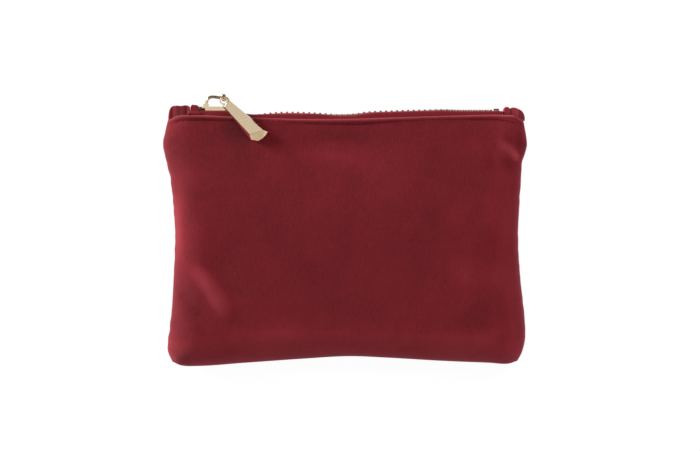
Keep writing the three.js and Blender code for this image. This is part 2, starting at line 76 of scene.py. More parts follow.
# The outline: [height, distance from the middle] down the sides, [place, height] along base and folds
LEFT_SIDE = [
    (-61.4, -84.4), (-57, -86.4), (-50, -86.4), (-40, -85.1), (-20, -83.8), (0, -83.1),
    (18, -84.2), (31, -86), (40, -88.2), (45, -89), (50, -88.2), (56.5, -86.6),
]
RIGHT_SIDE = [
    (-61, 84.2), (-57, 86.4), (-50, 88), (-38, 87.6), (-20, 85.6), (0, 84.6),
    (15, 85.2), (29, 86.1), (36, 86.5), (40, 87.9), (45, 89), (50, 88.3), (56.5, 87.2),
]
BASE = [
    (-84.4, -61.4), (-80.5, -63.2), (-72, -63.6), (-50, -62.1), (-20, -60), (2, -58.8),
    (20, -59.5), (48, -61.1), (70, -62), (80, -62.4), (84.2, -61),
]
FOLD = [
    (-86.6, 56.5), (-82, 58.6), (-76, 59), (-50, 58), (-25, 57.2), (0, 57.2),
    (25, 57.9), (55, 58.8), (78, 59.1), (83, 58.6), (87.2, 56.5),
]
# The sewn line below the folded edge, where the velvet is drawn in
SEWN_LINE = [
    (-86, 54.6), (-79, 56.4), (-74, 56.6), (-55, 56.3), (-32, 55.9), (-20, 55.1), (-7, 54.6), (8, 54.6),
    (27, 56), (46, 56.9), (66, 56.8), (74, 56.7), (79, 56), (86.5, 54.2),
]
WIDTH, HEIGHT = 173.0, 119.0
# The mouth's edge: half width of the sewn groove, the wide dip round it, the puff above it and the rolled rim
GROOVE_HALF = 0.65
DIP_DEPTH, DIP_HALF = 0.15, 2.6
PUFF_HEIGHT, PUFF_PLACE, PUFF_HALF = 0.5, 1.5, 1.1
ROLL_DEPTH, ROLL_RUN = 1.75, 1.9
PUCKER_REACH = 2.4

# How the panels stand up from the plane of the side seams
MOUTH_HALF = 8.2
FRONT_RISE, BACK_RISE = 3.1, 1.9
RISE_RUN = 55.0
FRONT_ROUND, BACK_ROUND = 14.0, 15.0
RIM_HALF = 1.1
SEAM_GAP = 0.15
PANEL_WALL = 1.2
BACK_EASE = 0.5

# The zip's chain, its tape and the place of the slider
CHAIN_Y = 60.6
LAST_TOOTH, FIRST_TOOTH = 71.2, -71.5
CORD_MIDDLE, CORD_RADIUS, CORD_END = 2.1, 0.6, 75.8
TAPE_END, TAPE_DEPTH, TAPE_BEHIND, TAPE_BEND, TAPE_HALF = 76.9, 12.0, 1.9, 5.9, 0.28
SLIDER_X, SLIDER_TAIL = -63.8, -62
SPREAD_START, SPREAD_RUN, SPREAD_WIDTH = -1.0, 6.5, 2.4
# Between the places where the slider stops, the soft chain dips, leans and hangs on its tapes:
# its fall, its lean to the front in degrees, and the fall of the front tape's bend
CHAIN_DIP = [
    (-77, 0), (-56, 0), (-51, -1.2), (-46, -2.5), (-38, -2.2), (-30, -1.95), (-20, -2.0), (-12, -2.1), (-2, -2.2),
    (5, -1.9), (10, -1.35), (25, -0.75), (40, -0.2), (48, 0.2), (56, 0), (77, 0),
]
CHAIN_LEAN = [
    (-77, 0), (-56, 0), (-48, 2), (-40, 12), (-33, 22), (-20, 22), (-11, 12), (-4, 2), (4, 2), (11, 10),
    (25, 12), (38, 9), (52, 0), (77, 0),
]
TAPE_FALL = [
    (-77, 0), (-56, 0), (-51, -0.7), (-46, -1.5), (-38, -1.4), (-30, -1.25), (-20, -1.25), (-12, -1.4), (-4, -2.2),
    (4, -2.1), (10, -1.1), (25, -0.35), (40, 0.05), (48, 0.2), (56, 0), (77, 0),
]


# Small mathematics on arrays

def smooth(value):
    held = np.clip(value, 0, 1)
    return held * held * (3 - 2 * held)


def mix(a, b, share):
    return a + (b - a) * share


def hump(distance, half_width):
    """A smooth hump of height 1, which falls away on both sides of the middle."""
    return np.exp(-((distance / half_width) ** 2))


def quarter_round(share):
    """A quarter of a circle, from 0 at share 0 to 1 at share 1."""
    return np.sqrt(1 - (1 - np.clip(share, 0, 1)) ** 2)


def curve_through(points):
    """A smooth curve through a few points, read at any places between its ends."""
    places, values = (np.array(row, float) for row in zip(*points))
    steps = np.diff(places)
    slopes = np.diff(values) / steps
    tangents = np.concatenate([slopes[:1], (slopes[1:] + slopes[:-1]) / 2, slopes[-1:]])

    def read(place):
        held = np.clip(place, places[0], places[-1])
        i = np.clip(np.searchsorted(places, held, side="right") - 1, 0, len(steps) - 1)
        h = steps[i]
        t = (held - places[i]) / h
        rise = (3 - 2 * t) * t * t
        return (
            values[i] * (1 - rise) + values[i + 1] * rise
            + h * t * (1 - t) * (tangents[i] * (1 - t) - tangents[i + 1] * t)
        )

    return read


def smooth_path(knots, count):
    """The coordinates of a smooth line of count points through a few knots."""
    fine = np.linspace(0, len(knots) - 1, count)
    return [curve_through(list(enumerate(row)))(fine) for row in zip(*knots)]


def round_section(sides):
    """The cosine and the sine of each corner of a round section."""
    angles = np.linspace(0, 2 * math.pi, sides, endpoint=False)
    return [(math.cos(angle), math.sin(angle)) for angle in angles]


left_side, right_side = curve_through(LEFT_SIDE), curve_through(RIGHT_SIDE)
base_line, fold_line = curve_through(BASE), curve_through(FOLD)
sewn_line, tape_fall = curve_through(SEWN_LINE), curve_through(TAPE_FALL)
chain_dip, chain_lean = curve_through(CHAIN_DIP), curve_through(CHAIN_LEAN)


def soft_noise(x, y, size, layer):
    """Smooth noise from -1 to 1, with features of about size, the same in each run."""
    read = np.vectorize(lambda a, b: noise.noise(Vector((a, b, layer))))
    return read(np.asarray(x, float) / size, np.asarray(y, float) / size)


def place_in_outline(across, up):
    """The outline filled in smoothly: across runs 0 to 1 from left to right, up 0 to 1 from base to fold."""
    left_y = mix(LEFT_SIDE[0][0], LEFT_SIDE[-1][0], up)
    right_y = mix(RIGHT_SIDE[0][0], RIGHT_SIDE[-1][0], up)
    base_x = mix(BASE[0][0], BASE[-1][0], across)
    fold_x = mix(FOLD[0][0], FOLD[-1][0], across)
    by_sides = (mix(left_side(left_y), right_side(right_y), across), mix(left_y, right_y, across))
    by_edges = (mix(base_x, fold_x, up), mix(base_line(base_x), fold_line(fold_x), up))
    corners = [
        mix(mix(BASE[0][n], BASE[-1][n], across), mix(FOLD[0][n], FOLD[-1][n], across), up) for n in (0, 1)
    ]
    return by_sides[0] + by_edges[0] - corners[0], by_sides[1] + by_edges[1] - corners[1]


def from_sides(across):
    """How far a place is from the nearer side seam."""
    return np.minimum(across, 1 - across) * WIDTH


def share_along(x):
    """How far along the fold a place lies, from 0 to 1."""
    return np.clip((x - FOLD[0][0]) / (FOLD[-1][0] - FOLD[0][0]), 0, 1)


def rounded_edge(distance, run):
    """The rise of a filled-out panel from its seam, blunter than a circle's."""
    return (1 - (1 - np.clip(distance / run, 0, 1)) ** 2) ** 0.6


def panel_height(across, up, run, rise):
    """How far a panel stands out from the seam plane."""
    plateau = MOUTH_HALF + rise * smooth((1 - up) * HEIGHT / RISE_RUN)
    share = rounded_edge(from_sides(across), run) * rounded_edge(up * HEIGHT, run)
    return RIM_HALF + (plateau - RIM_HALF) * share


def front_height(across, up):
    return panel_height(across, up, FRONT_ROUND, FRONT_RISE)


def back_height(across, up):
    """The back lies on its surface, so it eases into a flat patch there."""
    free = panel_height(across, up, BACK_ROUND, BACK_RISE)
    over = np.clip((free - SEAM_Z + BACK_EASE) / (2 * BACK_EASE), 0, None)
    eased = SEAM_Z - BACK_EASE + 2 * BACK_EASE * np.where(over < 1, over - over * over / 2, 0.5)
    return np.minimum(np.where(free < SEAM_Z - BACK_EASE, free, eased), SEAM_Z)


def height_over(side):
    """The height of the front or of the back over the plane of the seams, as a function."""
    return front_height if side > 0 else back_height


def row_spread(x):
    """How far a row of teeth has moved out where the slider parts the rows."""
    return SPREAD_WIDTH * smooth((SPREAD_START - (np.asarray(x) - SLIDER_X)) / SPREAD_RUN)


def in_chain(x, side, wide, high=0.0):
    """A point of the chain, wide out from its middle on one side and high above it, leaning as it lies."""
    lean = math.radians(float(chain_lean(x)))
    wide = side * (wide + float(row_spread(x)))
    rise = wide * math.sin(lean) + high * math.cos(lean)
    return np.array([
        x, CHAIN_Y + float(chain_dip(x)) + rise, SEAM_Z + wide * math.cos(lean) - high * math.sin(lean),
    ])


# Meshes and the usual modelling steps

def choose(*objects):
    """Selects these objects alone and makes the first one active."""
    bpy.ops.object.select_all(action="DESELECT")
    for obj in objects:
        obj.select_set(True)
    bpy.context.view_layer.objects.active = objects[0]


def new_mesh(name, points, faces, places=None):
    """An object from points in millimetres. places gives each point's (u, v) for a woven pattern."""
    mesh = bpy.data.meshes.new(name)
    mesh.from_pydata((np.asarray(points, float) * MM).tolist(), [], faces)
    if places is not None:
        layer = mesh.uv_layers.new(name="cloth")
        corners = np.zeros(len(mesh.loops), np.int32)
        mesh.loops.foreach_get("vertex_index", corners)
        layer.data.foreach_set("uv", (np.asarray(places, float) * MM)[corners].ravel())
    mesh.validate()
    obj = bpy.data.objects.new(name, mesh)
    bpy.context.scene.collection.objects.link(obj)
    return obj


def edit_mesh(obj, *steps):
    """Runs steps of edit mode, each with its settings, on a whole mesh."""
    choose(obj)
    bpy.ops.object.mode_set(mode="EDIT")
    bpy.ops.mesh.select_all(action="SELECT")
    for step, settings in steps:
        step(**settings)
    bpy.ops.object.mode_set(mode="OBJECT")


def outwards(obj):
    """Turns the faces of a closed mesh outwards."""
    edit_mesh(obj, (bpy.ops.mesh.normals_make_consistent, {"inside": False}))


def apply_modifier(obj, kind, **settings):
    choose(obj)
    modifier = obj.modifiers.new(kind.lower(), kind)
    for name, value in settings.items():
        setattr(modifier, name, value)
    bpy.ops.object.modifier_apply(modifier=modifier.name)


def shade(obj, angle=None):
    choose(obj)
    if angle is None:
        bpy.ops.object.shade_smooth()
    else:
        bpy.ops.object.shade_smooth_by_angle(angle=math.radians(angle))


def flip_inside_out(points, faces):
    """The faces turned outwards, judged by the closed mesh's volume."""
    points = np.asarray(points, float)
    volume = 0.0
    for face in faces:
        for n in range(1, len(face) - 1):
            a, b, c = points[face[0]], points[face[n]], points[face[n + 1]]
            volume += a @ np.cross(b, c)
    return faces if volume > 0 else [tuple(reversed(face)) for face in faces]


def rim_of(columns, rows):
    """The places round the edge of a grid, once round."""
    return (
        [(i, 0) for i in range(columns - 1)] + [(columns - 1, j) for j in range(rows - 1)]
        + [(i, rows - 1) for i in range(columns - 1, 0, -1)] + [(0, j) for j in range(rows - 1, 0, -1)]
    )


def cloth_shell(name, outer, inner, loops=(), places=None):
    """Cloth with a thickness: an outer and an inner grid of points, joined round the edge through loops."""
    rows, columns = outer.shape[:2]
    count = rows * columns
    points = np.concatenate([outer.reshape(-1, 3), inner.reshape(-1, 3), *loops])
    faces = []
    for j in range(rows - 1):
        for i in range(columns - 1):
            a, b = j * columns + i, j * columns + i + 1
            c, d = b + columns, a + columns
            faces.append((a, b, c, d))
            faces.append((a + count, d + count, c + count, b + count))
    rim = rim_of(columns, rows)
    edge = [j * columns + i for i, j in rim]
    rings = [edge]
    rings += [[2 * count + k * len(rim) + n for n in range(len(rim))] for k in range(len(loops))]
    rings.append([count + n for n in edge])
    for near, far in zip(rings, rings[1:]):
        for n in range(len(rim)):
            after = (n + 1) % len(rim)
            faces.append((far[n], far[after], near[after], near[n]))
    faces = flip_inside_out(points, faces)
    if places is not None:
        places = np.tile(places.reshape(-1, 2), (2, 1))
    obj = new_mesh(name, points, faces, places)
    shade(obj)
    return obj


def tube(name, sections, places=False):
    """A skin over a row of sections with equal numbers of points, capped at both ends."""
    sections = np.asarray(sections, float)
    count, sides = sections.shape[:2]
    faces = []
    for start in range(0, (count - 1) * sides, sides):
        for n in range(sides):
            after = (n + 1) % sides
            faces.append((start + n, start + after, start + sides + after, start + sides + n))
    faces.append(tuple(range(sides))[::-1])
    faces.append(tuple((count - 1) * sides + n for n in range(sides)))
    points = sections.reshape(-1, 3)
    uv = None
    if places:
        steps = np.linalg.norm(np.diff(sections.mean(axis=1), axis=0), axis=1)
        along = np.concatenate([[0], np.cumsum(steps)])
        round_it = np.linspace(0, 1, sides)
        uv = np.stack(np.meshgrid(along, round_it, indexing="ij"), axis=-1).reshape(-1, 2)
    obj = new_mesh(name, points, flip_inside_out(points, faces), uv)
    shade(obj)
    return obj


def scatter(name, pattern, places):
    """Copies of one modelled piece, each with its own mesh, joined into a row. places are 4 x 4 matrices."""
    corners = np.array([v.co for v in pattern.data.vertices], float) / MM
    shapes = [tuple(p.vertices) for p in pattern.data.polygons]
    points, faces = [], []
    for matrix in places:
        start = len(points) * len(corners)
        points.append(corners @ matrix[:3, :3].T + matrix[:3, 3])
        faces.extend(tuple(v + start for v in shape) for shape in shapes)
    obj = new_mesh(name, np.concatenate(points), faces)
    bpy.data.objects.remove(pattern)
    return obj


def turned(x_axis, y_axis, z_axis, place):
    """The 4 x 4 matrix that lays a pattern along three axes at a place."""
    matrix = np.eye(4)
    matrix[:3, :3] = np.array([x_axis, y_axis, z_axis]).T
    matrix[:3, 3] = place
    return matrix


def metal_from_solid(name, node, bevel, angle=32):
    """A copy of a packed metal solid with merged corners and small rounded edges."""
    copy = frame["nodes"][node].copy()
    copy.data = frame["nodes"][node].data.copy()
    copy.name = copy.data.name = name
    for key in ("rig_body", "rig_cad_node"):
        del copy[key]
    copy.parent = None
    copy.data.materials.clear()
    bpy.context.scene.collection.objects.link(copy)
    edit_mesh(
        copy, (bpy.ops.mesh.remove_doubles, {"threshold": 2e-6}),
        (bpy.ops.mesh.dissolve_limited, {"angle_limit": math.radians(1.5)}),
    )
    apply_modifier(
        copy, "BEVEL", width=bevel * MM, segments=2, limit_method="ANGLE",
        angle_limit=math.radians(angle), use_clamp_overlap=True, harden_normals=False,
    )
    shade(copy, 40)
    apply_modifier(copy, "WEIGHTED_NORMAL", keep_sharp=True, weight=100)
    return copy


def finish_piece(obj, body, material, stands_for=()):
    """Gives a piece its material, the body that it rides on, and the solids that it stands for."""
    obj.data.materials.append(material)
    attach(obj, body)
    if stands_for:
        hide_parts(*stands_for)


# Materials

class Value:
    """A socket's output, so that shader maths reads as plain expressions."""

    def __init__(self, shader, socket):
        self.shader, self.socket = shader, socket

    def math(self, operation, *values):
        return self.shader.node("ShaderNodeMath", {"operation": operation}, dict(enumerate(values)))

    def __add__(self, other):
        return self.math("ADD", self, other)

    def __sub__(self, other):
        return self.math("SUBTRACT", self, other)

    def __rsub__(self, other):
        return self.math("SUBTRACT", other, self)

    def __mul__(self, other):
        return self.math("MULTIPLY", self, other)

    __radd__, __rmul__ = __add__, __mul__

    def held(self):
        return self.math("MAXIMUM", self.math("MINIMUM", self, 1.0), 0.0)

    def wave(self, turns):
        """A sine wave from 0 to 1 with this many turns per unit."""
        return self.math("SINE", self * (turns * 2 * math.pi)) * 0.5 + 0.5


class Shader:
    """The node tree of a new material, or of the world."""

    def __init__(self, name, world=None):
        self.material = world or bpy.data.materials.new(name)
        self.material.use_nodes = True
        self.tree = self.material.node_tree
        self.tree.nodes.clear()

    def node(self, kind, settings=None, inputs=None, output=0):
        made = self.tree.nodes.new(kind)
        for name, value in (settings or {}).items():
            setattr(made, name, value)
        for name, value in (inputs or {}).items():
            if isinstance(value, Value):
                self.tree.links.new(value.socket, made.inputs[name])
            else:
                made.inputs[name].default_value = value
        return Value(self, made.outputs[output]) if len(made.outputs) else None

    def place(self, scale=(1, 1, 1)):
        """Where a point lies on the object, stretched by scale."""
        spot = self.node("ShaderNodeTexCoord", output="Object")
        return self.node("ShaderNodeMapping", inputs={"Vector": spot, "Scale": scale})

    def first_two(self, spot):
        return [self.node("ShaderNodeSeparateXYZ", inputs={0: spot}, output=n) for n in (0, 1)]

    def flat_place(self):
        """Where a point lies along x and along y, in metres."""
        return self.first_two(self.node("ShaderNodeTexCoord", output="Object"))

    def cloth_place(self):
        """Along and across a woven strip, in metres."""
        return self.first_two(self.node("ShaderNodeUVMap", {"uv_map": "cloth"}))

    def noise(self, place, scale, detail=2.0, roughness=0.5):
        return self.node(
            "ShaderNodeTexNoise",
            inputs={"Vector": place, "Scale": scale, "Detail": detail, "Roughness": roughness},
        )

    def colours(self, share, low, high):
        low, high = (end if isinstance(end, Value) else (*end, 1) for end in (low, high))
        return self.node("ShaderNodeMix", {"data_type": "RGBA"}, {0: share, 6: low, 7: high}, output=2)

    def tones(self, share, colour, dark, light):
        """One colour from its dark tone to its light one."""
        return self.colours(share, shaded(colour, dark), shaded(colour, light))

    def bump(self, height, strength, distance):
        return self.node("ShaderNodeBump", inputs={"Strength": strength, "Distance": distance, "Height": height})

    def surface(self, **inputs):
        named = {name.replace("_", " "): value for name, value in inputs.items()}
        shader = self.node("ShaderNodeBsdfPrincipled", inputs=named)
        self.node("ShaderNodeOutputMaterial", inputs={"Surface": shader})
        return self.material


def shaded(colour, factor):
    """A colour made darker or lighter by a factor."""
    return tuple(min(channel * factor, 1.0) for channel in colour)


def velvet_material(settings):
    """Short-pile velvet: random patches, fine streaks along the nap, painted light and shade read from a mesh
    attribute, a pinker painted sheen where it is lightest, and pile that catches light edge-on.
    """
    shader = Shader("short_pile_velvet")
    here = shader.place()
    tone_and_painted_light = shader.node("ShaderNodeAttribute", {"attribute_name": "tone_and_painted_light"}, output=2)
    patches = shader.noise(here, 34, 3, 0.55)
    cloudy = shader.noise(here, 120, 2, 0.6)
    streaks = shader.noise(shader.place((1, 0.3, 1)), 1100, 2, 0.6)
    pile = shader.noise(here, 2600, 1)
    # Painted light and shade from the mesh attribute make the colour lighter or darker, on top of the random tone
    tone = patches * 0.35 + cloudy * 0.3 + streaks * 0.5 + pile * 1.1 - 0.625 + tone_and_painted_light * 0.45
    plain = shader.tones(tone.held(), settings.colour, 0.5, 1.5)
    # The light end is a pinker painted sheen highlight
    painted_sheen_colour = [colour * 1.3 + sheen * 0.1 for colour, sheen in zip(settings.colour, settings.sheen_colour)]
    colour = shader.colours(((tone_and_painted_light - 0.35) * 0.7).held(), plain, painted_sheen_colour)
    fuzz = pile * 0.6 + streaks * 0.7 + cloudy * 0.4
    return shader.surface(
        Base_Color=colour,
        Roughness=0.92,
        Specular_IOR_Level=0.12,
        Sheen_Weight=settings.sheen,
        Sheen_Roughness=0.5,
        Sheen_Tint=(*settings.sheen_colour, 1),
        Normal=shader.bump(fuzz, 0.4, 0.0003),
    )


def lining_material(settings):
    """Plain woven lining."""
    shader = Shader("plain_lining")
    x, y = shader.flat_place()
    warp, weft = x.wave(2200), y.wave(2200)
    weave = warp * weft + (1 - warp) * (1 - weft)
    tone = (weave * 0.4 + shader.noise(shader.place(), 60, 2) * 0.6).held()
    return shader.surface(
        Base_Color=shader.tones(tone, settings.lining_colour, 0.75, 1.2),
        Roughness=0.6, Sheen_Weight=0.1, Normal=shader.bump(weave, 0.4, 0.00008),
    )


def tape_material(settings):
    """Herringbone tape: ribs that lean one way and then the other across the strip."""
    shader = Shader("herringbone_tape")
    along, across = shader.cloth_place()
    band = across.math("PINGPONG", across * 1000, 1.4)
    rib = (along + band * 0.0009).wave(1500)
    yarn = across.wave(2600)
    weave = rib * 0.75 + yarn * 0.25
    fibre = shader.noise(shader.place((1, 0.4, 1)), 2400, 2)
    tone = (weave * 0.55 + fibre * 0.45).held()
    return shader.surface(
        Base_Color=shader.tones(tone, settings.tape_colour, 0.6, 1.25),
        Roughness=0.85, Specular_IOR_Level=0.15, Sheen_Weight=0.5, Sheen_Roughness=0.5,
        Sheen_Tint=(*shaded(settings.tape_colour, 4), 1), Normal=shader.bump(weave + fibre * 0.5, 0.6, 0.00012),
    )


def cord_material(colour, turns):
    """Twisted yarn: slanting strands round the cord."""
    shader = Shader("chain_cord")
    along, around = shader.cloth_place()
    strand = (along * turns + around * 2000).wave(1)
    fibre = shader.noise(shader.place(), 5200, 2)
    tone = (strand * 0.6 + fibre * 0.4).held()
    return shader.surface(
        Base_Color=shader.tones(tone, colour, 0.6, 1.35),
        Roughness=0.7, Sheen_Weight=0.25, Normal=shader.bump(strand + fibre * 0.4, 0.6, 0.0001),
    )


def sewing_material(colour):
    """Sewing thread, with strands that slant along each stitch."""
    shader = Shader("sewing_thread")
    x, y = shader.flat_place()
    strand = (x + y * 0.8).wave(4200)
    return shader.surface(
        Base_Color=shader.tones(strand, colour, 0.6, 1.3),
        Roughness=0.8, Specular_IOR_Level=0.1, Normal=shader.bump(strand, 0.5, 0.00006),
    )


def gold_material(name, colour, roughness, wear):
    """Pale gold plate: a soft polish with hairlines, and a darker film in places."""
    shader = Shader(name)
    here = shader.place()
    film = shader.noise(here, 420, 3, 0.6)
    hairline = shader.noise(shader.place((1, 9, 1)), 900, 2, 0.7)
    grain = shader.noise(here, 5200, 2)
    polish = roughness + (film * 0.6 + hairline * 0.4 - 0.5) * wear
    return shader.surface(
        Base_Color=shader.tones((film * 1.6 - 0.3).held(), colour, 0.86, 1), Metallic=1.0, Roughness=polish.held(),
        Normal=shader.bump(hairline * 0.6 + grain * 0.4, 0.06, 0.00005),
    )


# Sizes and colours that a user may change

def colour_property(name, description, default):
    return FloatVectorProperty(
        name=name, description=description, default=default, min=0, max=1, size=3, subtype="COLOR",
    )


def length_property(name, description, default, least, most):
    """A length, given here in millimetres."""
    return FloatProperty(
        name=name, description=description, default=default * MM, min=least * MM, max=most * MM, unit="LENGTH",
    )


class VelvetSettings(bpy.types.PropertyGroup):
    colour: colour_property("Velvet", "Colour of the velvet's pile", (0.123, 0.0071, 0.011))
    sheen_colour: colour_property("Sheen", "Colour of the pile where light catches it edge-on", (0.95, 0.2, 0.25))
    lining_colour: colour_property("Lining", "Colour of the woven lining", (0.068, 0.008, 0.0115))
    sheen: FloatProperty(
        name="Sheen strength", description="How strongly the pile catches light", default=0.88, min=0, max=1,
        subtype="FACTOR",
    )
    groove: length_property("Sewn line", "How deep the sewn line draws the velvet in", 0.42, 0, 2)
    pucker: length_property("Puckers", "Height of the small ripples beside the seams", 0.28, 0, 1)


class ZipSettings(bpy.types.PropertyGroup):
    pitch: length_property("Pitch", "Distance from one tooth to the next in a row", 2.69, 2, 4)
    tooth: length_property("Tooth", "Thickness of a tooth along the zip", 1.04, 0.5, 1.3)
    tape_colour: colour_property("Tape", "Colour of the zip tape", (0.175, 0.015, 0.021))
    metal_colour: colour_property("Metal", "Colour of the plated metal", (0.745, 0.6, 0.405))


class StitchSettings(bpy.types.PropertyGroup):
    length: length_property("Stitch", "Length of one stitch", 2.6, 1, 6)
    thread: length_property("Thread", "Diameter of the sewing thread", 0.3, 0.1, 1)
    colour: colour_property("Thread colour", "Colour of the sewing thread", (0.1, 0.0075, 0.0115))


class StageSettings(bpy.types.PropertyGroup):
    lens: FloatProperty(
        name="Lens", description="Focal length of the camera, in millimetres", default=250, min=50, max=500,
    )
    view_width: FloatProperty(
        name="View width", description="Width that the camera sees at the plane of the seams", default=0.3423,
        min=0.1, max=1, unit="LENGTH",
    )
    cards: IntProperty(
        name="Flags", description="Number of large cards that only the metal mirrors", default=3, min=0, max=3,
    )


# The velvet panels

# Soft folds of the front: start, end, height and half width. A negative height is a hollow.
FRONT_FOLDS = [
    ((-72.5, -15), (-55.5, -42), 1.5, 3.4),
    ((-82, -24), (-66, -44), -1.1, 4.2),
    ((-66, -14), (-48, -34), -0.35, 6.0),
    ((-79, 28), (-77, 8), 0.5, 4.0),
    ((75, 47), (87, 35), 1.1, 1.6),
    ((80, 50), (90, 40.5), -1.4, 2.6),
    ((70, 38), (82, 28), -0.5, 4.0),
    ((-25, 43), (25, 43), -0.6, 10.0),
    ((75, 6), (73, -22), -0.6, 7.0),
    ((58, -52), (76, -40), -0.45, 6.0),
    ((-40, -48), (20, -52), 0.3, 6.0),
    ((10, 20), (45, 0), 0.35, 12.0),
]

# Painted light and shade on the front's pile, with some lighter and darker patches of tone: start, end, how much
# lighter or darker, and half width
FRONT_PAINTED_LIGHT_AND_TONE = [
    ((-36, 41), (14, 38), 0.5, 5.0),
    ((-14, 49), (10, 49), -0.5, 3.0),
    # A painted shadow under the pull
    ((-60, 56), (-47, 44), -1.1, 4.5),
    ((-52, 42), (-45, 30), -0.3, 6.0),
    ((-78, 38), (-64, 24), 0.35, 7.0),
    ((-72, 10), (-66, -10), 0.35, 7.0),
    ((-74, -44), (-12, -48), 0.15, 5.0),
    ((58, 48), (68, 40), 0.4, 5.0),
    ((70, 2), (74, -18), -0.2, 5.0),
    ((58, -36), (66, -44), -0.2, 4.0),
    ((48, -8), (64, -30), 0.3, 7.0),
    ((12, 40), (24, 14), 0.3, 7.0),
    # Painted highlights along the soft fold at the lower left
    ((-73, -14), (-55, -41), 1.35, 4.4),
    ((-84, -6), (-68, -26), 0.3, 6.0),
    ((60, 12), (62, -32), 0.2, 9.0),
    ((-80, -27), (-70, -40), -0.35, 3.5),
    # A painted highlight along the left rim, and painted shade at its top
    ((-83, 22), (-81, -12), 1.0, 2.8),
    ((-84, 54), (-82, 32), -0.4, 5.0),
    # A painted highlight on the crease at the right corner, and painted shade beside it
    ((77, 45), (86, 36.5), 1.7, 1.3),
    ((78, 50), (86, 42), -0.5, 2.5),
    ((76, 38), (84, 32), -0.4, 2.5),
    # Painted shade along the rolled edge at the zip
    ((-90, 58.5), (-36, 58), -0.7, 1.6),
    ((-44, 57.6), (16, 57), -0.3, 1.6),
    ((10, 57.5), (85, 59), -0.45, 1.5),
]


def soft_fold(x, y, start, end, height, half_width):
    """One fold or stroke: a hump along a line, which fades at both of its ends."""
    along = np.subtract(end, start)
    length = np.hypot(*along)
    share = ((x - start[0]) * along[0] + (y - start[1]) * along[1]) / length**2
    off = ((y - start[1]) * along[0] - (x - start[0]) * along[1]) / length
    fade = smooth(share * 1.8 + 0.3) * smooth((1 - share) * 1.8 + 0.3)
    return height * fade * hump(off, half_width)


def edge_steps(length, fine, middle):
    """Distances that are close together near both ends and middle apart between them."""
    near = [0.0]
    while near[-1] < 12:
        near.append(near[-1] + min(fine * 1.16 ** (len(near) - 1), middle))
    inner = np.linspace(near[-1], length - near[-1], int((length - 2 * near[-1]) / middle) + 1)
    return np.concatenate([near[:-1], inner, [length - step for step in near[:-1][::-1]]])


def sewn_place(across, up):
    """A place in the outline, with small sways of the side seams that die away inwards."""
    x, y = place_in_outline(across, up)
    for share, sway, layer in ((across, 0.5, 61), (1 - across, 0.25, 67)):
        near = smooth(1 - share * WIDTH / 9) * smooth(up * HEIGHT / 8) * smooth((1 - up) * HEIGHT / 14)
        x = x + sway * near * soft_noise(y, y * 0, 4.4, layer)
    return x, y


def seam_puckers(across, up, depth, layer):
    """Small ripples that start at the side and base seams and die away inwards."""
    side, foot = from_sides(across), up * HEIGHT

    def ripple(distance):
        return (distance / PUCKER_REACH) * np.exp(1 - distance / PUCKER_REACH)

    by_side = soft_noise(foot, side * 0.25, 4.6, layer) * ripple(side)
    by_foot = soft_noise(across * WIDTH, foot * 0.25, 5.4, layer + 7) * ripple(foot)
    return depth * 1.8 * (by_side + by_foot)


def mouth_shape(x, y, up, groove):
    """The rolled edge at the zip and the sewn line below it."""
    below_fold = np.clip(fold_line(x) - y, 0, None)
    from_line = y - sewn_line(x)
    depth = groove * (0.85 + 0.3 * soft_noise(x, x * 0, 7, 3))
    sewn = -depth * hump(from_line, GROOVE_HALF) - DIP_DEPTH * hump(from_line, DIP_HALF)
    puff = PUFF_HEIGHT * hump(below_fold - PUFF_PLACE, PUFF_HALF)
    roll = -ROLL_DEPTH * (1 - quarter_round(below_fold / ROLL_RUN))
    return np.where(up > 0.6, sewn + puff + roll, 0)


def front_detail(x, y, across, up, settings):
    """Soft unevenness, the folds and the puckers of the front."""
    detail = 0.32 * soft_noise(x, y, 27, 1) + 0.1 * soft_noise(x, y, 9, 2)
    for fold in FRONT_FOLDS:
        detail = detail + soft_fold(x, y, *fold)
    return detail + seam_puckers(across, up, settings.pucker / MM, 11)


def back_detail(x, y, across, up, settings):
    """The back is pressed on its surface, so it only draws in from its shape and never stands out."""
    loose = 0.3 * soft_noise(x, y, 24, 31) + seam_puckers(across, up, settings.pucker / MM, 41)
    held = smooth((SEAM_Z - 0.6 - back_height(across, up)) / 2.0)
    return loose * held


def pile_tone_and_painted_light(x, y, across, up, side):
    """Painted light and shade on the pile, with some random tone: painted shade at the right and bottom rims, a
    painted lighter band beside them, and the painted strokes on the front.
    """
    from_edge = np.minimum((1 - across) * WIDTH, up * HEIGHT)
    tone_and_painted_light = 0.2 * soft_noise(x, y, 22, 71 + side)
    # A painted lighter band beside the right and bottom rims, and painted shade right at them
    tone_and_painted_light = tone_and_painted_light + 0.7 * hump(from_edge - 8.5, 6.5) - 0.8 * hump(from_edge, 2)
    for stroke in FRONT_PAINTED_LIGHT_AND_TONE if side > 0 else ():
        tone_and_painted_light = tone_and_painted_light + soft_fold(x, y, *stroke)
    return tone_and_painted_light


# The edge of a panel, ring by ring: how far the seam allowance is turned in, how high it lies, and how far
# through the wall the folded edge at the zip is
EDGE_RINGS = [(0.25, 0.6, 0.1), (0.8, 0.25, 0.3), (2.0, 0.18, 0.55), (6.0, 0.18, 0.78), (6.0, 1.35, 0.93)]


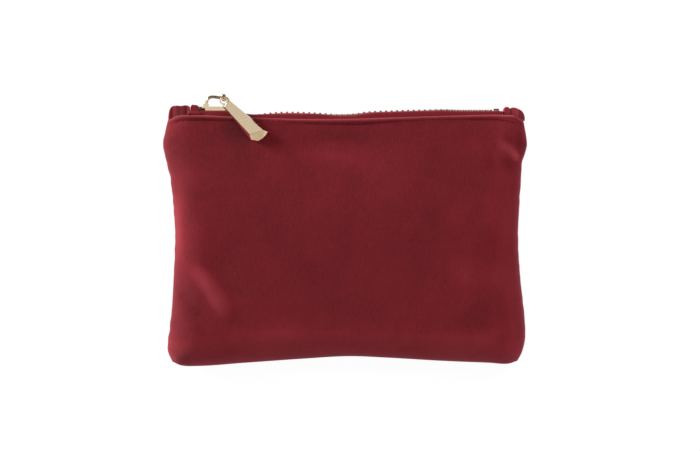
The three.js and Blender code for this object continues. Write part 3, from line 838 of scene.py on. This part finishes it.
def velvet_panel(name, side, settings):
    """One panel: its face, its wrong side, the turned-in seam allowance and the folded edge at the zip."""
    height_of, detail_of = (front_height, front_detail) if side > 0 else (back_height, back_detail)
    columns = edge_steps(WIDTH, 0.3, 1.35) / WIDTH
    rows = edge_steps(HEIGHT, 0.22, 1.35) / HEIGHT
    across, up = np.meshgrid(columns, rows)
    x, y = sewn_place(across, up)
    free = smooth(from_sides(across) / 6) * smooth(up * HEIGHT / 6)
    height = height_of(across, up) + detail_of(x, y, across, up, settings) * np.maximum(free, 0.35)
    height = height + mouth_shape(x, y, up, settings.groove / MM) * smooth((height - RIM_HALF) / 4)
    if side < 0:
        height = np.minimum(height, SEAM_Z)
    outer = np.stack([x, y, height], axis=-1)
    along_x, along_y = np.gradient(outer, axis=1), np.gradient(outer, axis=0)
    normal = np.cross(along_x, along_y)
    normal /= np.linalg.norm(normal, axis=-1, keepdims=True)
    inner = outer - normal * PANEL_WALL
    inner[..., 2] = np.maximum(inner[..., 2], SEAM_GAP + PANEL_WALL)
    rim = rim_of(len(columns), len(rows))
    loops = []
    for inset, seam_height, share in EDGE_RINGS:
        loop = []
        for i, j in rim:
            if j == len(rows) - 1:
                edge = mix(outer[j, i], inner[j, i], share)
                loop.append(edge + np.array([0, 0.5 * math.sin(math.pi * share), 0]))
                continue
            allowance = mix(inset, min(inset, 1.2), smooth((rows[j] - 0.8) * 5))
            in_x, in_y = allowance / WIDTH, allowance / HEIGHT
            tip = sewn_place(mix(in_x, 1 - in_x, columns[i]), mix(in_y, 1, rows[j]))
            loop.append(np.array([tip[0], tip[1], seam_height]))
        loops.append(np.array(loop))
    for points in (outer, inner, *loops):
        points[..., 2] = SEAM_Z + side * points[..., 2]
    panel = cloth_shell(name, outer, inner, loops)
    paint_tone_and_light(panel, pile_tone_and_painted_light(x, y, across, up, side).ravel())
    return panel


def lining_half(name, side):
    """One half of the lining bag, which hangs inside its panel from the zip tape."""
    height_of = height_over(side)
    inset, top_drop, wall, lining = 7.5, 2.4, 2.5, 0.5
    width, length = WIDTH - 2 * inset, HEIGHT - inset - top_drop
    columns = edge_steps(width, 0.5, 3.4) / width
    rows = edge_steps(length, 0.5, 3.4) / length
    across, up = np.meshgrid(columns, rows)
    in_x, in_y, top_up = inset / WIDTH, inset / HEIGHT, 1 - top_drop / HEIGHT

    def surface(depth):
        shrink = depth / width
        x, y = place_in_outline(
            mix(in_x + shrink, 1 - in_x - shrink, across), mix(in_y + shrink, top_up, up)
        )
        below = height_of(mix(in_x, 1 - in_x, across), mix(in_y, top_up, up)) - 3.1
        below = below + 0.25 * soft_noise(x, y, 12, 50 + side)
        from_side = np.minimum(across, 1 - across) * width
        height = below * quarter_round(from_side / wall) * quarter_round(up * length / wall)
        height = np.maximum(height - depth, SEAM_GAP)
        return np.stack([x, y, SEAM_Z + side * height], axis=-1)

    return cloth_shell(name, surface(0), surface(lining))


# The zip

def tape_strip(name, side):
    """One tape, from the cord that carries the teeth round to its sewn hem behind the panel's fold."""
    height_of = height_over(side)
    stations = np.linspace(-TAPE_END, TAPE_END, 150)
    outer, inner, places = [], [], []
    for x in stations:
        def behind(y):
            up = np.clip((y - BASE[0][1]) / (fold_line(x) - BASE[0][1]), 0, 1)
            return float(height_of(share_along(x), up)) - TAPE_BEHIND

        fall = tape_fall(x) if side > 0 else chain_dip(x) * 0.8
        ripple = 0.12 * noise.noise(Vector((x / 6, side * 3.0, 5)))
        near, far = in_chain(x, side, CORD_MIDDLE + 0.2), in_chain(x, side, 3.5)
        knots = [
            (side * (near[2] - SEAM_Z), near[1] - CHAIN_Y),
            (side * (far[2] - SEAM_Z), mix(far[1] - CHAIN_Y, fall, 0.4)),
            (TAPE_BEND, fall + ripple), (behind(CHAIN_Y), fall - 0.9 + ripple),
            (behind(CHAIN_Y) + 0.05, -2.7 + fall * 0.4), (behind(CHAIN_Y - 7), -7.0),
            (behind(CHAIN_Y - TAPE_DEPTH), -TAPE_DEPTH),
        ]
        for n, least in ((2, 0.6), (3, 0.4)):
            knots[n] = (max(knots[n][0], knots[n - 1][0] + least), knots[n][1])
        wide, rise = smooth_path(knots, 6 * (len(knots) - 1) + 1)
        d_wide, d_rise = np.gradient(wide), np.gradient(rise)
        size = np.hypot(d_wide, d_rise)
        n_wide, n_rise = -d_rise / size, d_wide / size
        walked = np.concatenate([[0], np.cumsum(np.hypot(np.diff(wide), np.diff(rise)))])
        for rows, share in ((outer, TAPE_HALF), (inner, -TAPE_HALF)):
            rows.append(np.stack([
                np.full_like(wide, x), CHAIN_Y + rise + n_rise * share, SEAM_Z + side * (wide + n_wide * share),
            ], axis=-1))
        places.append(np.stack([np.full_like(wide, x), walked], axis=-1))
    return cloth_shell(name, np.array(outer), np.array(inner), places=np.array(places))


def chain_cord(name, side):
    """The woven cord along a tape's edge, which the teeth grip."""
    stations = np.concatenate([
        np.linspace(-CORD_END, SLIDER_TAIL, 24, endpoint=False), np.linspace(SLIDER_TAIL, CORD_END, 80),
    ])
    return tube(name, [
        [in_chain(x, side, CORD_MIDDLE + CORD_RADIUS * c, CORD_RADIUS * s) for c, s in round_section(12)]
        for x in stations
    ], places=True)


# How much darker the teeth's metal is than the slider's: a painted shade that stands in for the shadow between the
# teeth and the dark surroundings that they mirror
TEETH_PAINTED_SHADE = 0.6
# Half of a tooth in section: [distance from the chain's middle, height], from the head round to its leg
TOOTH_HALF = [
    (-0.62, 0.0), (-0.6, 0.55), (-0.4, 0.85), (0.05, 1.16), (0.9, 1.22), (2.2, 1.14), (2.92, 0.98), (2.98, 0.78),
    (2.86, 0.52), (2.55, 0.66), (2.05, 0.74), (1.55, 0.5), (1.38, 0.0),
]


def tooth_pattern(thick):
    """One tooth: a flat head with a nib, and two legs that grip the cord. Its length runs along +Z."""
    profile = TOOTH_HALF + [(a, -h) for a, h in TOOTH_HALF[-2:0:-1]]
    bpy.ops.mesh.primitive_circle_add(vertices=len(profile), radius=MM, fill_type="NGON")
    tooth = bpy.context.object
    for vertex, (across, height) in zip(tooth.data.vertices, profile):
        vertex.co = Vector((-thick / 2, height, across)) * MM
    edit_mesh(
        tooth, (bpy.ops.mesh.extrude_region_move, {"TRANSFORM_OT_translate": {"value": (thick * MM, 0, 0)}})
    )
    outwards(tooth)
    work = bmesh.new()
    work.from_mesh(tooth.data)
    caps = [f for f in work.faces if len(f.verts) > 6]
    rims = [e for f in caps for e in f.edges if min(v.co.z for v in e.verts) < 2.9 * MM
            and max(abs(v.co.y) for v in e.verts) > 0.8 * MM]
    bmesh.ops.bevel(work, geom=rims, offset=0.14 * MM, segments=1, affect="EDGES", clamp_overlap=True)
    # The steps above list the faces in another order each run, so they are put in order of their place
    order = Vector((1, 7.31, 53.17))
    work.verts.sort(key=lambda vert: vert.co @ order)
    work.faces.sort(key=lambda face: face.calc_center_median() @ order)
    work.to_mesh(tooth.data)
    work.free()
    bpy.ops.mesh.primitive_cone_add(
        vertices=6, radius1=0.42 * MM, radius2=0.2 * MM, depth=0.24 * MM,
        location=((thick / 2 + 0.1) * MM, 0, -0.02 * MM), rotation=(0, math.pi / 2, 0),
    )
    choose(tooth, bpy.context.object)
    bpy.ops.object.join()
    return tooth


def teeth_row(name, side, last_tooth, settings):
    """One row of teeth on its cord, turned where the slider parts the rows."""
    pattern = tooth_pattern(settings.tooth / MM)
    places = []
    x = last_tooth
    while x >= FIRST_TOOTH:
        along = in_chain(x + 0.2, side, 0) - in_chain(x - 0.2, side, 0)
        along /= np.linalg.norm(along)
        upward = in_chain(x, side, 0, 1) - in_chain(x, side, 0)
        upward -= along * (along @ upward)
        upward /= np.linalg.norm(upward)
        out = np.cross(along, upward)
        out *= math.copysign(1, out[2] * side)
        places.append(turned(along, upward, out, in_chain(x, side, 0)))
        x -= settings.pitch / MM
    row = scatter(name, pattern, places)
    outwards(row)
    shade(row, 35)
    return row


# The velvet tabs over the zip's ends, and the tape that is turned up beside the slider

# Half of a folded piece in section: [share of its width, share of its height]
FOLDED_HALF = [(1, 0), (1, 0.45), (1, 0.74), (0.985, 0.9), (0.9, 0.98), (0.66, 1), (0.32, 1), (0, 1)]
# The top of each tab: [place, height], and its creases: place, depth, half width
LEFT_TAB_TOP = [
    (-86.4, 58.2), (-86.1, 60.6), (-85.5, 62.3), (-84.5, 63.4), (-83, 63.7), (-80, 63.6), (-77, 63.8), (-75.9, 63.2),
]
LEFT_TAB_CREASES = [(-77.2, 0.25, 0.5), (-80.4, 0.2, 0.9), (-83.6, 0.25, 0.8)]
RIGHT_TAB_TOP = [
    (77.3, 62.1), (78.1, 62.9), (79.5, 63.0), (80.5, 62.5), (81.6, 62.8), (83.8, 62.5), (85.7, 61.6), (87.1, 60.2),
    (87.8, 58.4),
]
RIGHT_TAB_CREASES = [(80.5, 0.75, 0.45), (84.4, 0.3, 0.6)]
# Each end tab: its top, its creases, how much painted light or painted shade its pile gets, and how much painted
# light it gets at its rims
END_TABS = {
    "left": (LEFT_TAB_TOP, LEFT_TAB_CREASES, -1.5, 3.2),
    "right": (RIGHT_TAB_TOP, RIGHT_TAB_CREASES, 2.4, 0),
}
TURNED_TAPE_TOP = [(-75.4, 62.9), (-74.9, 63.8), (-73.4, 63.9), (-71.8, 63.5), (-71.2, 62.4)]


def paint_tone_and_light(obj, values):
    """Painted light and shade, with some random tone, at the first points of a mesh; the rest has none."""
    shades = np.zeros(len(obj.data.vertices))
    shades[:len(values)] = values
    obj.data.attributes.new("tone_and_painted_light", "FLOAT", "POINT").data.foreach_set("value", shades)


def folded_cloth(name, shape, first, last, wall):
    """Cloth folded over from front to back. shape(x) gives its lower and upper edge, and its front and back."""
    wide_share, up_share = smooth_path(FOLDED_HALF, 29)

    def section(x, depth):
        low, high, front, back = shape(x)
        middle = (front + back) / 2
        points = []
        for face, order in ((front, 1), (back, -1)):
            reach = face - middle
            reach = math.copysign(max(abs(reach) - depth, abs(reach) * 0.3), reach)
            half = [(x, mix(low, high - depth, u), middle + w * reach) for w, u in zip(wide_share, up_share)]
            points += half if order > 0 else half[-2::-1]
        return points

    stations = np.linspace(first, last, int(abs(last - first) / 0.2) + 1)
    outside = np.array([section(x, 0) for x in stations])
    inside = np.array([section(x, wall) for x in stations])
    return cloth_shell(name, outside, inside)


def end_tab(name, top, creases, tone_and_painted_light, rim):
    """A folded piece of velvet over one end of the zip, with painted light or painted shade over it and painted
    light at its rims.
    """
    top_line, first, last = curve_through(top), top[0][0], top[-1][0]
    inner, outer = sorted((first, last), key=abs)

    def shape(x):
        across = share_along(x * 1.015)
        crease = sum(depth * hump(x - place, half) for place, depth, half in creases)
        share = (x - inner) / (outer - inner)
        lip = 0.6 * (1 - quarter_round(abs(x - inner) / 0.8))
        soft = 0.15 * noise.noise(Vector((x / 2.5, math.copysign(9.0, x), 2)))
        low = mix(57.4, float(fold_line(x)) - 0.2, float(smooth((share - 0.35) * 4)))
        front, back = (max(float(height(across, np.float64(1.0))) - 1.5, 1.7) - lip - crease + soft
                       for height in (front_height, back_height))
        high = max(float(top_line(x)) - lip * 0.5 - crease * 0.3, low + 0.4)
        return low, high, SEAM_Z + front, SEAM_Z - back

    tab = folded_cloth(name, shape, first, last, 1.3)
    along = np.array([vertex.co.x / MM for vertex in tab.data.vertices])
    # Painted light or shade over the whole tab, and painted light at its rims
    paint_tone_and_light(tab, tone_and_painted_light + rim * (hump(along - first, 2.1) + hump(along - last, 1.2)))
    return tab


def turned_tape(name, side):
    """The end of a tape, turned up in a small fold between the tab and the slider."""
    top_line = curve_through(TURNED_TAPE_TOP)

    def shape(x):
        soft = 0.1 * noise.noise(Vector((x / 1.5, side * 4.0, 8)))
        return 58.6, float(top_line(x)), SEAM_Z + side * 6.1 + 0.75 + soft, SEAM_Z + side * 6.1 - 0.65

    return folded_cloth(name, shape, TURNED_TAPE_TOP[0][0], TURNED_TAPE_TOP[-1][0], 0.5)


# The bail and the link

BAIL_RADIUS = 0.8
BAIL_PATH = [
    (-68, 63.5), (-67.8, 65.6), (-66.8, 67.6), (-65, 68.2), (-62.3, 67.7), (-60, 67.5), (-58.1, 67.45),
    (-57.1, 66.6), (-57, 65.2), (-57, 63.5),
]


def bail_wire():
    """The bent wire over the slider, with rounded feet."""
    path = np.stack(smooth_path(BAIL_PATH, 64), axis=-1)
    for _ in range(30):
        path[1:-1] = (path[:-2] + 2 * path[1:-1] + path[2:]) / 4
    way = np.gradient(path, axis=0)
    way /= np.linalg.norm(way, axis=1, keepdims=True)
    sections = []
    for n, (point, ahead) in enumerate(zip(path, way)):
        size = BAIL_RADIUS * (0.75 if n in (0, len(path) - 1) else 1)
        sections.append([
            (point[0] - ahead[1] * size * c, point[1] + ahead[0] * size * c, SEAM_Z + size * s)
            for c, s in round_section(20)
        ])
    return tube("bail_wire", sections)


LINK_X, LINK_Y, LINK_TOP = -59.1, 67.5, 20.1
LINK_INNER, LINK_STRIP, LINK_WIDTH = 1.15, 0.65, 1.7


def strip_link():
    """A flat strip bent into a long loop, from a cylinder stretched, hollowed and rounded at its edges."""
    bpy.ops.mesh.primitive_cylinder_add(
        vertices=48, radius=(LINK_INNER + LINK_STRIP) * MM, depth=LINK_WIDTH * MM,
        location=(LINK_X * MM, LINK_Y * MM, SEAM_Z * MM), rotation=(0, math.pi / 2, 0),
    )
    link = bpy.context.object
    link.name = link.data.name = "strip_link"
    bpy.ops.object.transform_apply(location=True, rotation=True, scale=True)
    for vertex in link.data.vertices:
        if vertex.co.z > (SEAM_Z - 0.01) * MM:
            vertex.co.z += (LINK_TOP - SEAM_Z) * MM
    bpy.ops.object.mode_set(mode="EDIT")
    bpy.ops.mesh.select_mode(type="FACE")
    bpy.ops.mesh.select_all(action="DESELECT")
    bpy.ops.object.mode_set(mode="OBJECT")
    for face in link.data.polygons:
        face.select = abs(face.normal.x) > 0.9
    bpy.ops.object.mode_set(mode="EDIT")
    bpy.ops.mesh.inset(thickness=LINK_STRIP * MM, use_individual=True)
    bpy.ops.mesh.bridge_edge_loops()
    bpy.ops.object.mode_set(mode="OBJECT")
    apply_modifier(
        link, "BEVEL", width=0.15 * MM, segments=3, limit_method="ANGLE", angle_limit=math.radians(40),
    )
    shade(link, 40)
    return link


# The sewn lines

SEWN_START, SEWN_STOP = -82.0, 83.5


def stitch_pattern(length, thick):
    """One stitch: a short thread that dips at both ends. Its length runs along +X, out of the cloth is +Z."""
    sections = []
    for t in np.linspace(-1, 1, 7):
        size = thick / 2 * (0.55 if abs(t) == 1 else 1)
        sink = -0.6 * abs(t) ** 3 * thick
        sections.append([(t * length / 2, size * c * 1.1, size * s + sink) for c, s in round_section(6)])
    return tube("stitch", sections)


def sewn_row(name, face, side, sewing):
    """Stitches along the sewn line of one panel, lying in its groove."""
    length, thick = sewing.length / MM, sewing.thread / MM
    pattern = stitch_pattern(length * 0.82, thick)
    places = []
    x = SEWN_START
    while x < SEWN_STOP:
        y = float(sewn_line(x))
        start = Vector((x * MM, y * MM, (SEAM_Z + side * 30) * MM))
        hit, point, _, _ = face.ray_cast(start, Vector((0, 0, -side)))
        if hit:
            slope = float(sewn_line(x + 0.5) - sewn_line(x - 0.5))
            after = face.ray_cast(start + Vector((0.8 * MM, slope * 0.8 * MM, 0)), Vector((0, 0, -side)))
            along = (after[1] - point).normalized() if after[0] else Vector((1, slope, 0)).normalized()
            out = Vector((0, 0, side))
            out = (out - along * out.dot(along)).normalized()
            aside = out.cross(along)
            spot = np.array(point) / MM + np.array(out) * thick * 0.1
            places.append(turned(np.array(along), np.array(aside), np.array(out), spot))
        x += length
    row = scatter(name, pattern, places)
    outwards(row)
    shade(row)
    return row


# The stage

def ray_share(shader):
    """1 for rays from the camera and for rays that metal or glass sends on, otherwise 0."""
    camera, glossy, sent = (
        shader.node("ShaderNodeLightPath", output=f"Is {kind} Ray") for kind in ("Camera", "Glossy", "Transmission")
    )
    return (camera + glossy + sent).held()


def white_world():
    world = bpy.data.worlds.new("studio")
    bpy.context.scene.world = world
    shader = Shader("studio", world)
    soft = shader.node("ShaderNodeBackground", inputs={"Color": (1, 1, 1, 1), "Strength": 0.3})
    white = shader.node("ShaderNodeBackground", inputs={"Color": (1, 1, 1, 1), "Strength": 1.0})
    both = shader.node("ShaderNodeMixShader", inputs={0: ray_share(shader), 1: soft, 2: white})
    shader.node("ShaderNodeOutputWorld", inputs={"Surface": both})


def white_floor():
    bpy.ops.mesh.primitive_plane_add(size=6, location=(0, 0, -0.05 * MM))
    floor = bpy.context.object
    floor.name = "floor"
    shader = Shader("floor")
    card = shader.node("ShaderNodeBsdfDiffuse", inputs={"Color": (0.86, 0.86, 0.86, 1)})
    glow = shader.node("ShaderNodeEmission", inputs={"Color": (1, 1, 1, 1), "Strength": 1.04})
    both = shader.node("ShaderNodeMixShader", inputs={0: ray_share(shader) * 0.92, 1: card, 2: glow})
    shader.node("ShaderNodeOutputMaterial", inputs={"Surface": both})
    floor.data.materials.append(shader.material)


# The lamps: name, place and size in metres, power in watts, and whether metal mirrors it
LAMPS = [
    ("key_lamp", (-1.35, 0.85, 0.32), 0.5, 46, True),
    ("top_lamp", (0.75, 0.65, 1.15), 0.45, 8, False),
    ("fill_lamp", (1.2, -1.1, 0.42), 0.8, 11, False),
]


def add_lamp(name, place, size, power, mirrored):
    bpy.ops.object.light_add(type="AREA", location=place)
    lamp = bpy.context.object
    lamp.name = name
    lamp.data.shape, lamp.data.size = "DISK", size
    lamp.data.energy = power
    lamp.rotation_euler = (-Vector(place)).to_track_quat("-Z", "Y").to_euler()
    lamp.visible_glossy = mirrored


# Flags round the stage that only mirrored rays see: middle, size, the point that each faces, in millimetres,
# and colour. A dark one stands behind the pouch, another hangs before it, and a warm one faces the pull.
BAIL_SPOT, PULL_SPOT = (-60, 66, 11), (-43, 49, 21)
DARK, WARM = (0.05, 0.042, 0.035), (0.8, 0.72, 0.62)
MIRRORED_CARDS = [
    ((-60, 755, 589), 1510, BAIL_SPOT, DARK),
    ((-60, -472, 1114), 890, BAIL_SPOT, DARK),
    ((217, -771, 531), 800, PULL_SPOT, WARM),
]


def add_card(middle, size, aim, colour):
    bpy.ops.mesh.primitive_plane_add(size=size * MM, location=Vector(middle) * MM)
    card = bpy.context.object
    card.name = "mirrored_card"
    card.rotation_euler = (Vector(aim) - Vector(middle)).to_track_quat("Z", "Y").to_euler()
    shader = Shader("mirrored_card")
    plain = shader.node("ShaderNodeEmission", inputs={"Color": (*colour, 1), "Strength": 1.0})
    shader.node("ShaderNodeOutputMaterial", inputs={"Surface": plain})
    card.data.materials.append(shader.material)
    card.visible_camera = card.visible_diffuse = card.visible_shadow = False


SENSOR_WIDTH = 36
CAMERA_OVER = (2.4, 5.1)


def add_camera(settings):
    """A camera straight above, as far away as its lens needs for the view's width."""
    distance = settings.lens / SENSOR_WIDTH * settings.view_width
    x, y = CAMERA_OVER
    bpy.ops.object.camera_add(location=(x * MM, y * MM, SEAM_Z * MM + distance))
    camera = bpy.context.object
    camera.name = "camera"
    camera.data.lens = settings.lens
    camera.data.clip_end = 20
    bpy.context.scene.camera = camera


# The operators, in the order in which the pouch is made

class BuildVelvet(bpy.types.Operator):
    """Makes the front and back velvet panels"""

    bl_idname = "pouch.build_velvet"
    bl_label = "Velvet panels"

    def execute(self, context):
        settings = context.scene.pouch_velvet
        velvet = velvet_material(settings)
        for label, side in SIDES:
            panel = velvet_panel(f"velvet_{label}", side, settings)
            finish_piece(panel, "pouch", velvet, [f"{label}_panel"])
        return {"FINISHED"}


class BuildLining(bpy.types.Operator):
    """Makes the two halves of the lining bag"""

    bl_idname = "pouch.build_lining"
    bl_label = "Lining"

    def execute(self, context):
        lining = lining_material(context.scene.pouch_velvet)
        for label, side in SIDES:
            half = lining_half(f"lining_{label}_half", side)
            finish_piece(half, "pouch", lining, [f"{label}_lining"])
        return {"FINISHED"}


class BuildTapes(bpy.types.Operator):
    """Makes the woven tapes and the cords along their edges"""

    bl_idname = "pouch.build_tapes"
    bl_label = "Zip tapes"

    def execute(self, context):
        settings = context.scene.pouch_zip
        woven = tape_material(settings)
        cord = cord_material(settings.tape_colour, 900)
        for label, side in SIDES:
            finish_piece(tape_strip(f"tape_{label}", side), "pouch", woven, [f"{label}_zip_tape"])
            finish_piece(chain_cord(f"chain_cord_{label}", side), "pouch", cord)
            finish_piece(turned_tape(f"turned_tape_{label}", side), "pouch", woven)
        return {"FINISHED"}


class BuildTeeth(bpy.types.Operator):
    """Makes the two rows of metal teeth"""

    bl_idname = "pouch.build_teeth"
    bl_label = "Zip teeth"

    def execute(self, context):
        settings = context.scene.pouch_zip
        # The teeth's metal is a darker copy of the slider's, a painted shade
        metal = gold_material("teeth_metal_painted_dark", shaded(settings.metal_colour, TEETH_PAINTED_SHADE), 0.3, 0.3)
        for (label, side), last in zip(SIDES, (LAST_TOOTH, LAST_TOOTH - settings.pitch / MM / 2)):
            row = teeth_row(f"teeth_{label}_row", side, last, settings)
            finish_piece(row, "pouch", metal, [f"{label}_zip_teeth"])
        return {"FINISHED"}


class BuildTabs(bpy.types.Operator):
    """Makes the velvet tabs over the zip's ends"""

    bl_idname = "pouch.build_tabs"
    bl_label = "Zip end tabs"

    def execute(self, context):
        velvet = bpy.data.materials["short_pile_velvet"]
        for label, tab in END_TABS.items():
            finish_piece(end_tab(f"tab_{label}", *tab), "pouch", velvet, [f"{label}_zip_end_tab"])
        return {"FINISHED"}


class BuildStops(bpy.types.Operator):
    """Makes the small metal stops at the ends of the chain"""

    bl_idname = "pouch.build_stops"
    bl_label = "Zip stops"

    def execute(self, context):
        # The stops share the teeth's darker metal, with its painted shade
        metal = bpy.data.materials["teeth_metal_painted_dark"]
        for name, node in (
            ("stop_top_front", "front_top_stop"), ("stop_top_back", "back_top_stop"), ("stop_bottom", "bottom_stop"),
        ):
            finish_piece(metal_from_solid(name, node, 0.12), "pouch", metal, [node])
        return {"FINISHED"}


class BuildSlider(bpy.types.Operator):
    """Makes the slider and the wire bail over it"""

    bl_idname = "pouch.build_slider"
    bl_label = "Slider"

    def execute(self, context):
        settings = context.scene.pouch_zip
        metal = gold_material("slider_metal", settings.metal_colour, 0.1, 0.06)
        shell = metal_from_solid("slider_shell", "slider_body", 0.16)
        finish_piece(shell, "slider", metal, ["slider_body"])
        finish_piece(bail_wire(), "slider", metal, ["slider_bail"])
        return {"FINISHED"}


class BuildPull(bpy.types.Operator):
    """Makes the link and the faceted pull"""

    bl_idname = "pouch.build_pull"
    bl_label = "Link and pull"

    def execute(self, context):
        settings = context.scene.pouch_zip
        metal = gold_material("pull_metal", settings.metal_colour, 0.2, 0.12)
        finish_piece(strip_link(), "link", metal, ["pull_link"])
        pull = metal_from_solid("faceted_pull", "pull_tab", 0.13, 14)
        finish_piece(pull, "pull", metal, ["pull_tab"])
        return {"FINISHED"}


class BuildStitches(bpy.types.Operator):
    """Makes the sewn line below the zip"""

    bl_idname = "pouch.build_stitches"
    bl_label = "Stitching"

    def execute(self, context):
        sewing = context.scene.pouch_stitches
        thread = sewing_material(sewing.colour)
        for label, side in SIDES:
            row = sewn_row(f"stitches_{label}", bpy.data.objects[f"velvet_{label}"], side, sewing)
            finish_piece(row, "pouch", thread)
        return {"FINISHED"}


class BuildStage(bpy.types.Operator):
    """Makes the floor, the lamps, the cards that the metal mirrors, and the camera"""

    bl_idname = "pouch.build_stage"
    bl_label = "Stage"

    def execute(self, context):
        settings = context.scene.pouch_stage
        white_world()
        white_floor()
        for lamp in LAMPS:
            add_lamp(*lamp)
        for card in MIRRORED_CARDS[:settings.cards]:
            add_card(*card)
        add_camera(settings)
        context.scene.view_settings.view_transform = "Standard"
        return {"FINISHED"}


class PouchPanel(bpy.types.Panel):
    """Sizes, colours and building steps of the pouch"""

    bl_idname = "VIEW3D_PT_pouch"
    bl_label = "Velvet pouch"
    bl_space_type = "VIEW_3D"
    bl_region_type = "UI"
    bl_category = "Pouch"

    def draw(self, context):
        for label, group in GROUPS.items():
            box = self.layout.box()
            settings = getattr(context.scene, label)
            for name in group.__annotations__:
                box.prop(settings, name)
        for operator in STEPS:
            self.layout.operator(operator.bl_idname)


GROUPS = {
    "pouch_velvet": VelvetSettings,
    "pouch_zip": ZipSettings,
    "pouch_stitches": StitchSettings,
    "pouch_stage": StageSettings,
}
STEPS = (
    BuildStage, BuildVelvet, BuildLining, BuildTapes, BuildTeeth, BuildTabs, BuildStops, BuildSlider, BuildPull,
    BuildStitches,
)


def register():
    for kind in (*GROUPS.values(), *STEPS, PouchPanel):
        bpy.utils.register_class(kind)
    for label, group in GROUPS.items():
        setattr(bpy.types.Scene, label, PointerProperty(type=group))


def unregister():
    for label in GROUPS:
        delattr(bpy.types.Scene, label)
    for kind in reversed((*GROUPS.values(), *STEPS, PouchPanel)):
        bpy.utils.unregister_class(kind)


def main():
    register()
    bpy.ops.pouch.build_stage()
    bpy.ops.pouch.build_velvet()
    bpy.ops.pouch.build_lining()
    bpy.ops.pouch.build_tapes()
    bpy.ops.pouch.build_teeth()
    bpy.ops.pouch.build_tabs()
    bpy.ops.pouch.build_stops()
    bpy.ops.pouch.build_slider()
    bpy.ops.pouch.build_pull()
    bpy.ops.pouch.build_stitches()


if __name__ == "__main__":
    main()
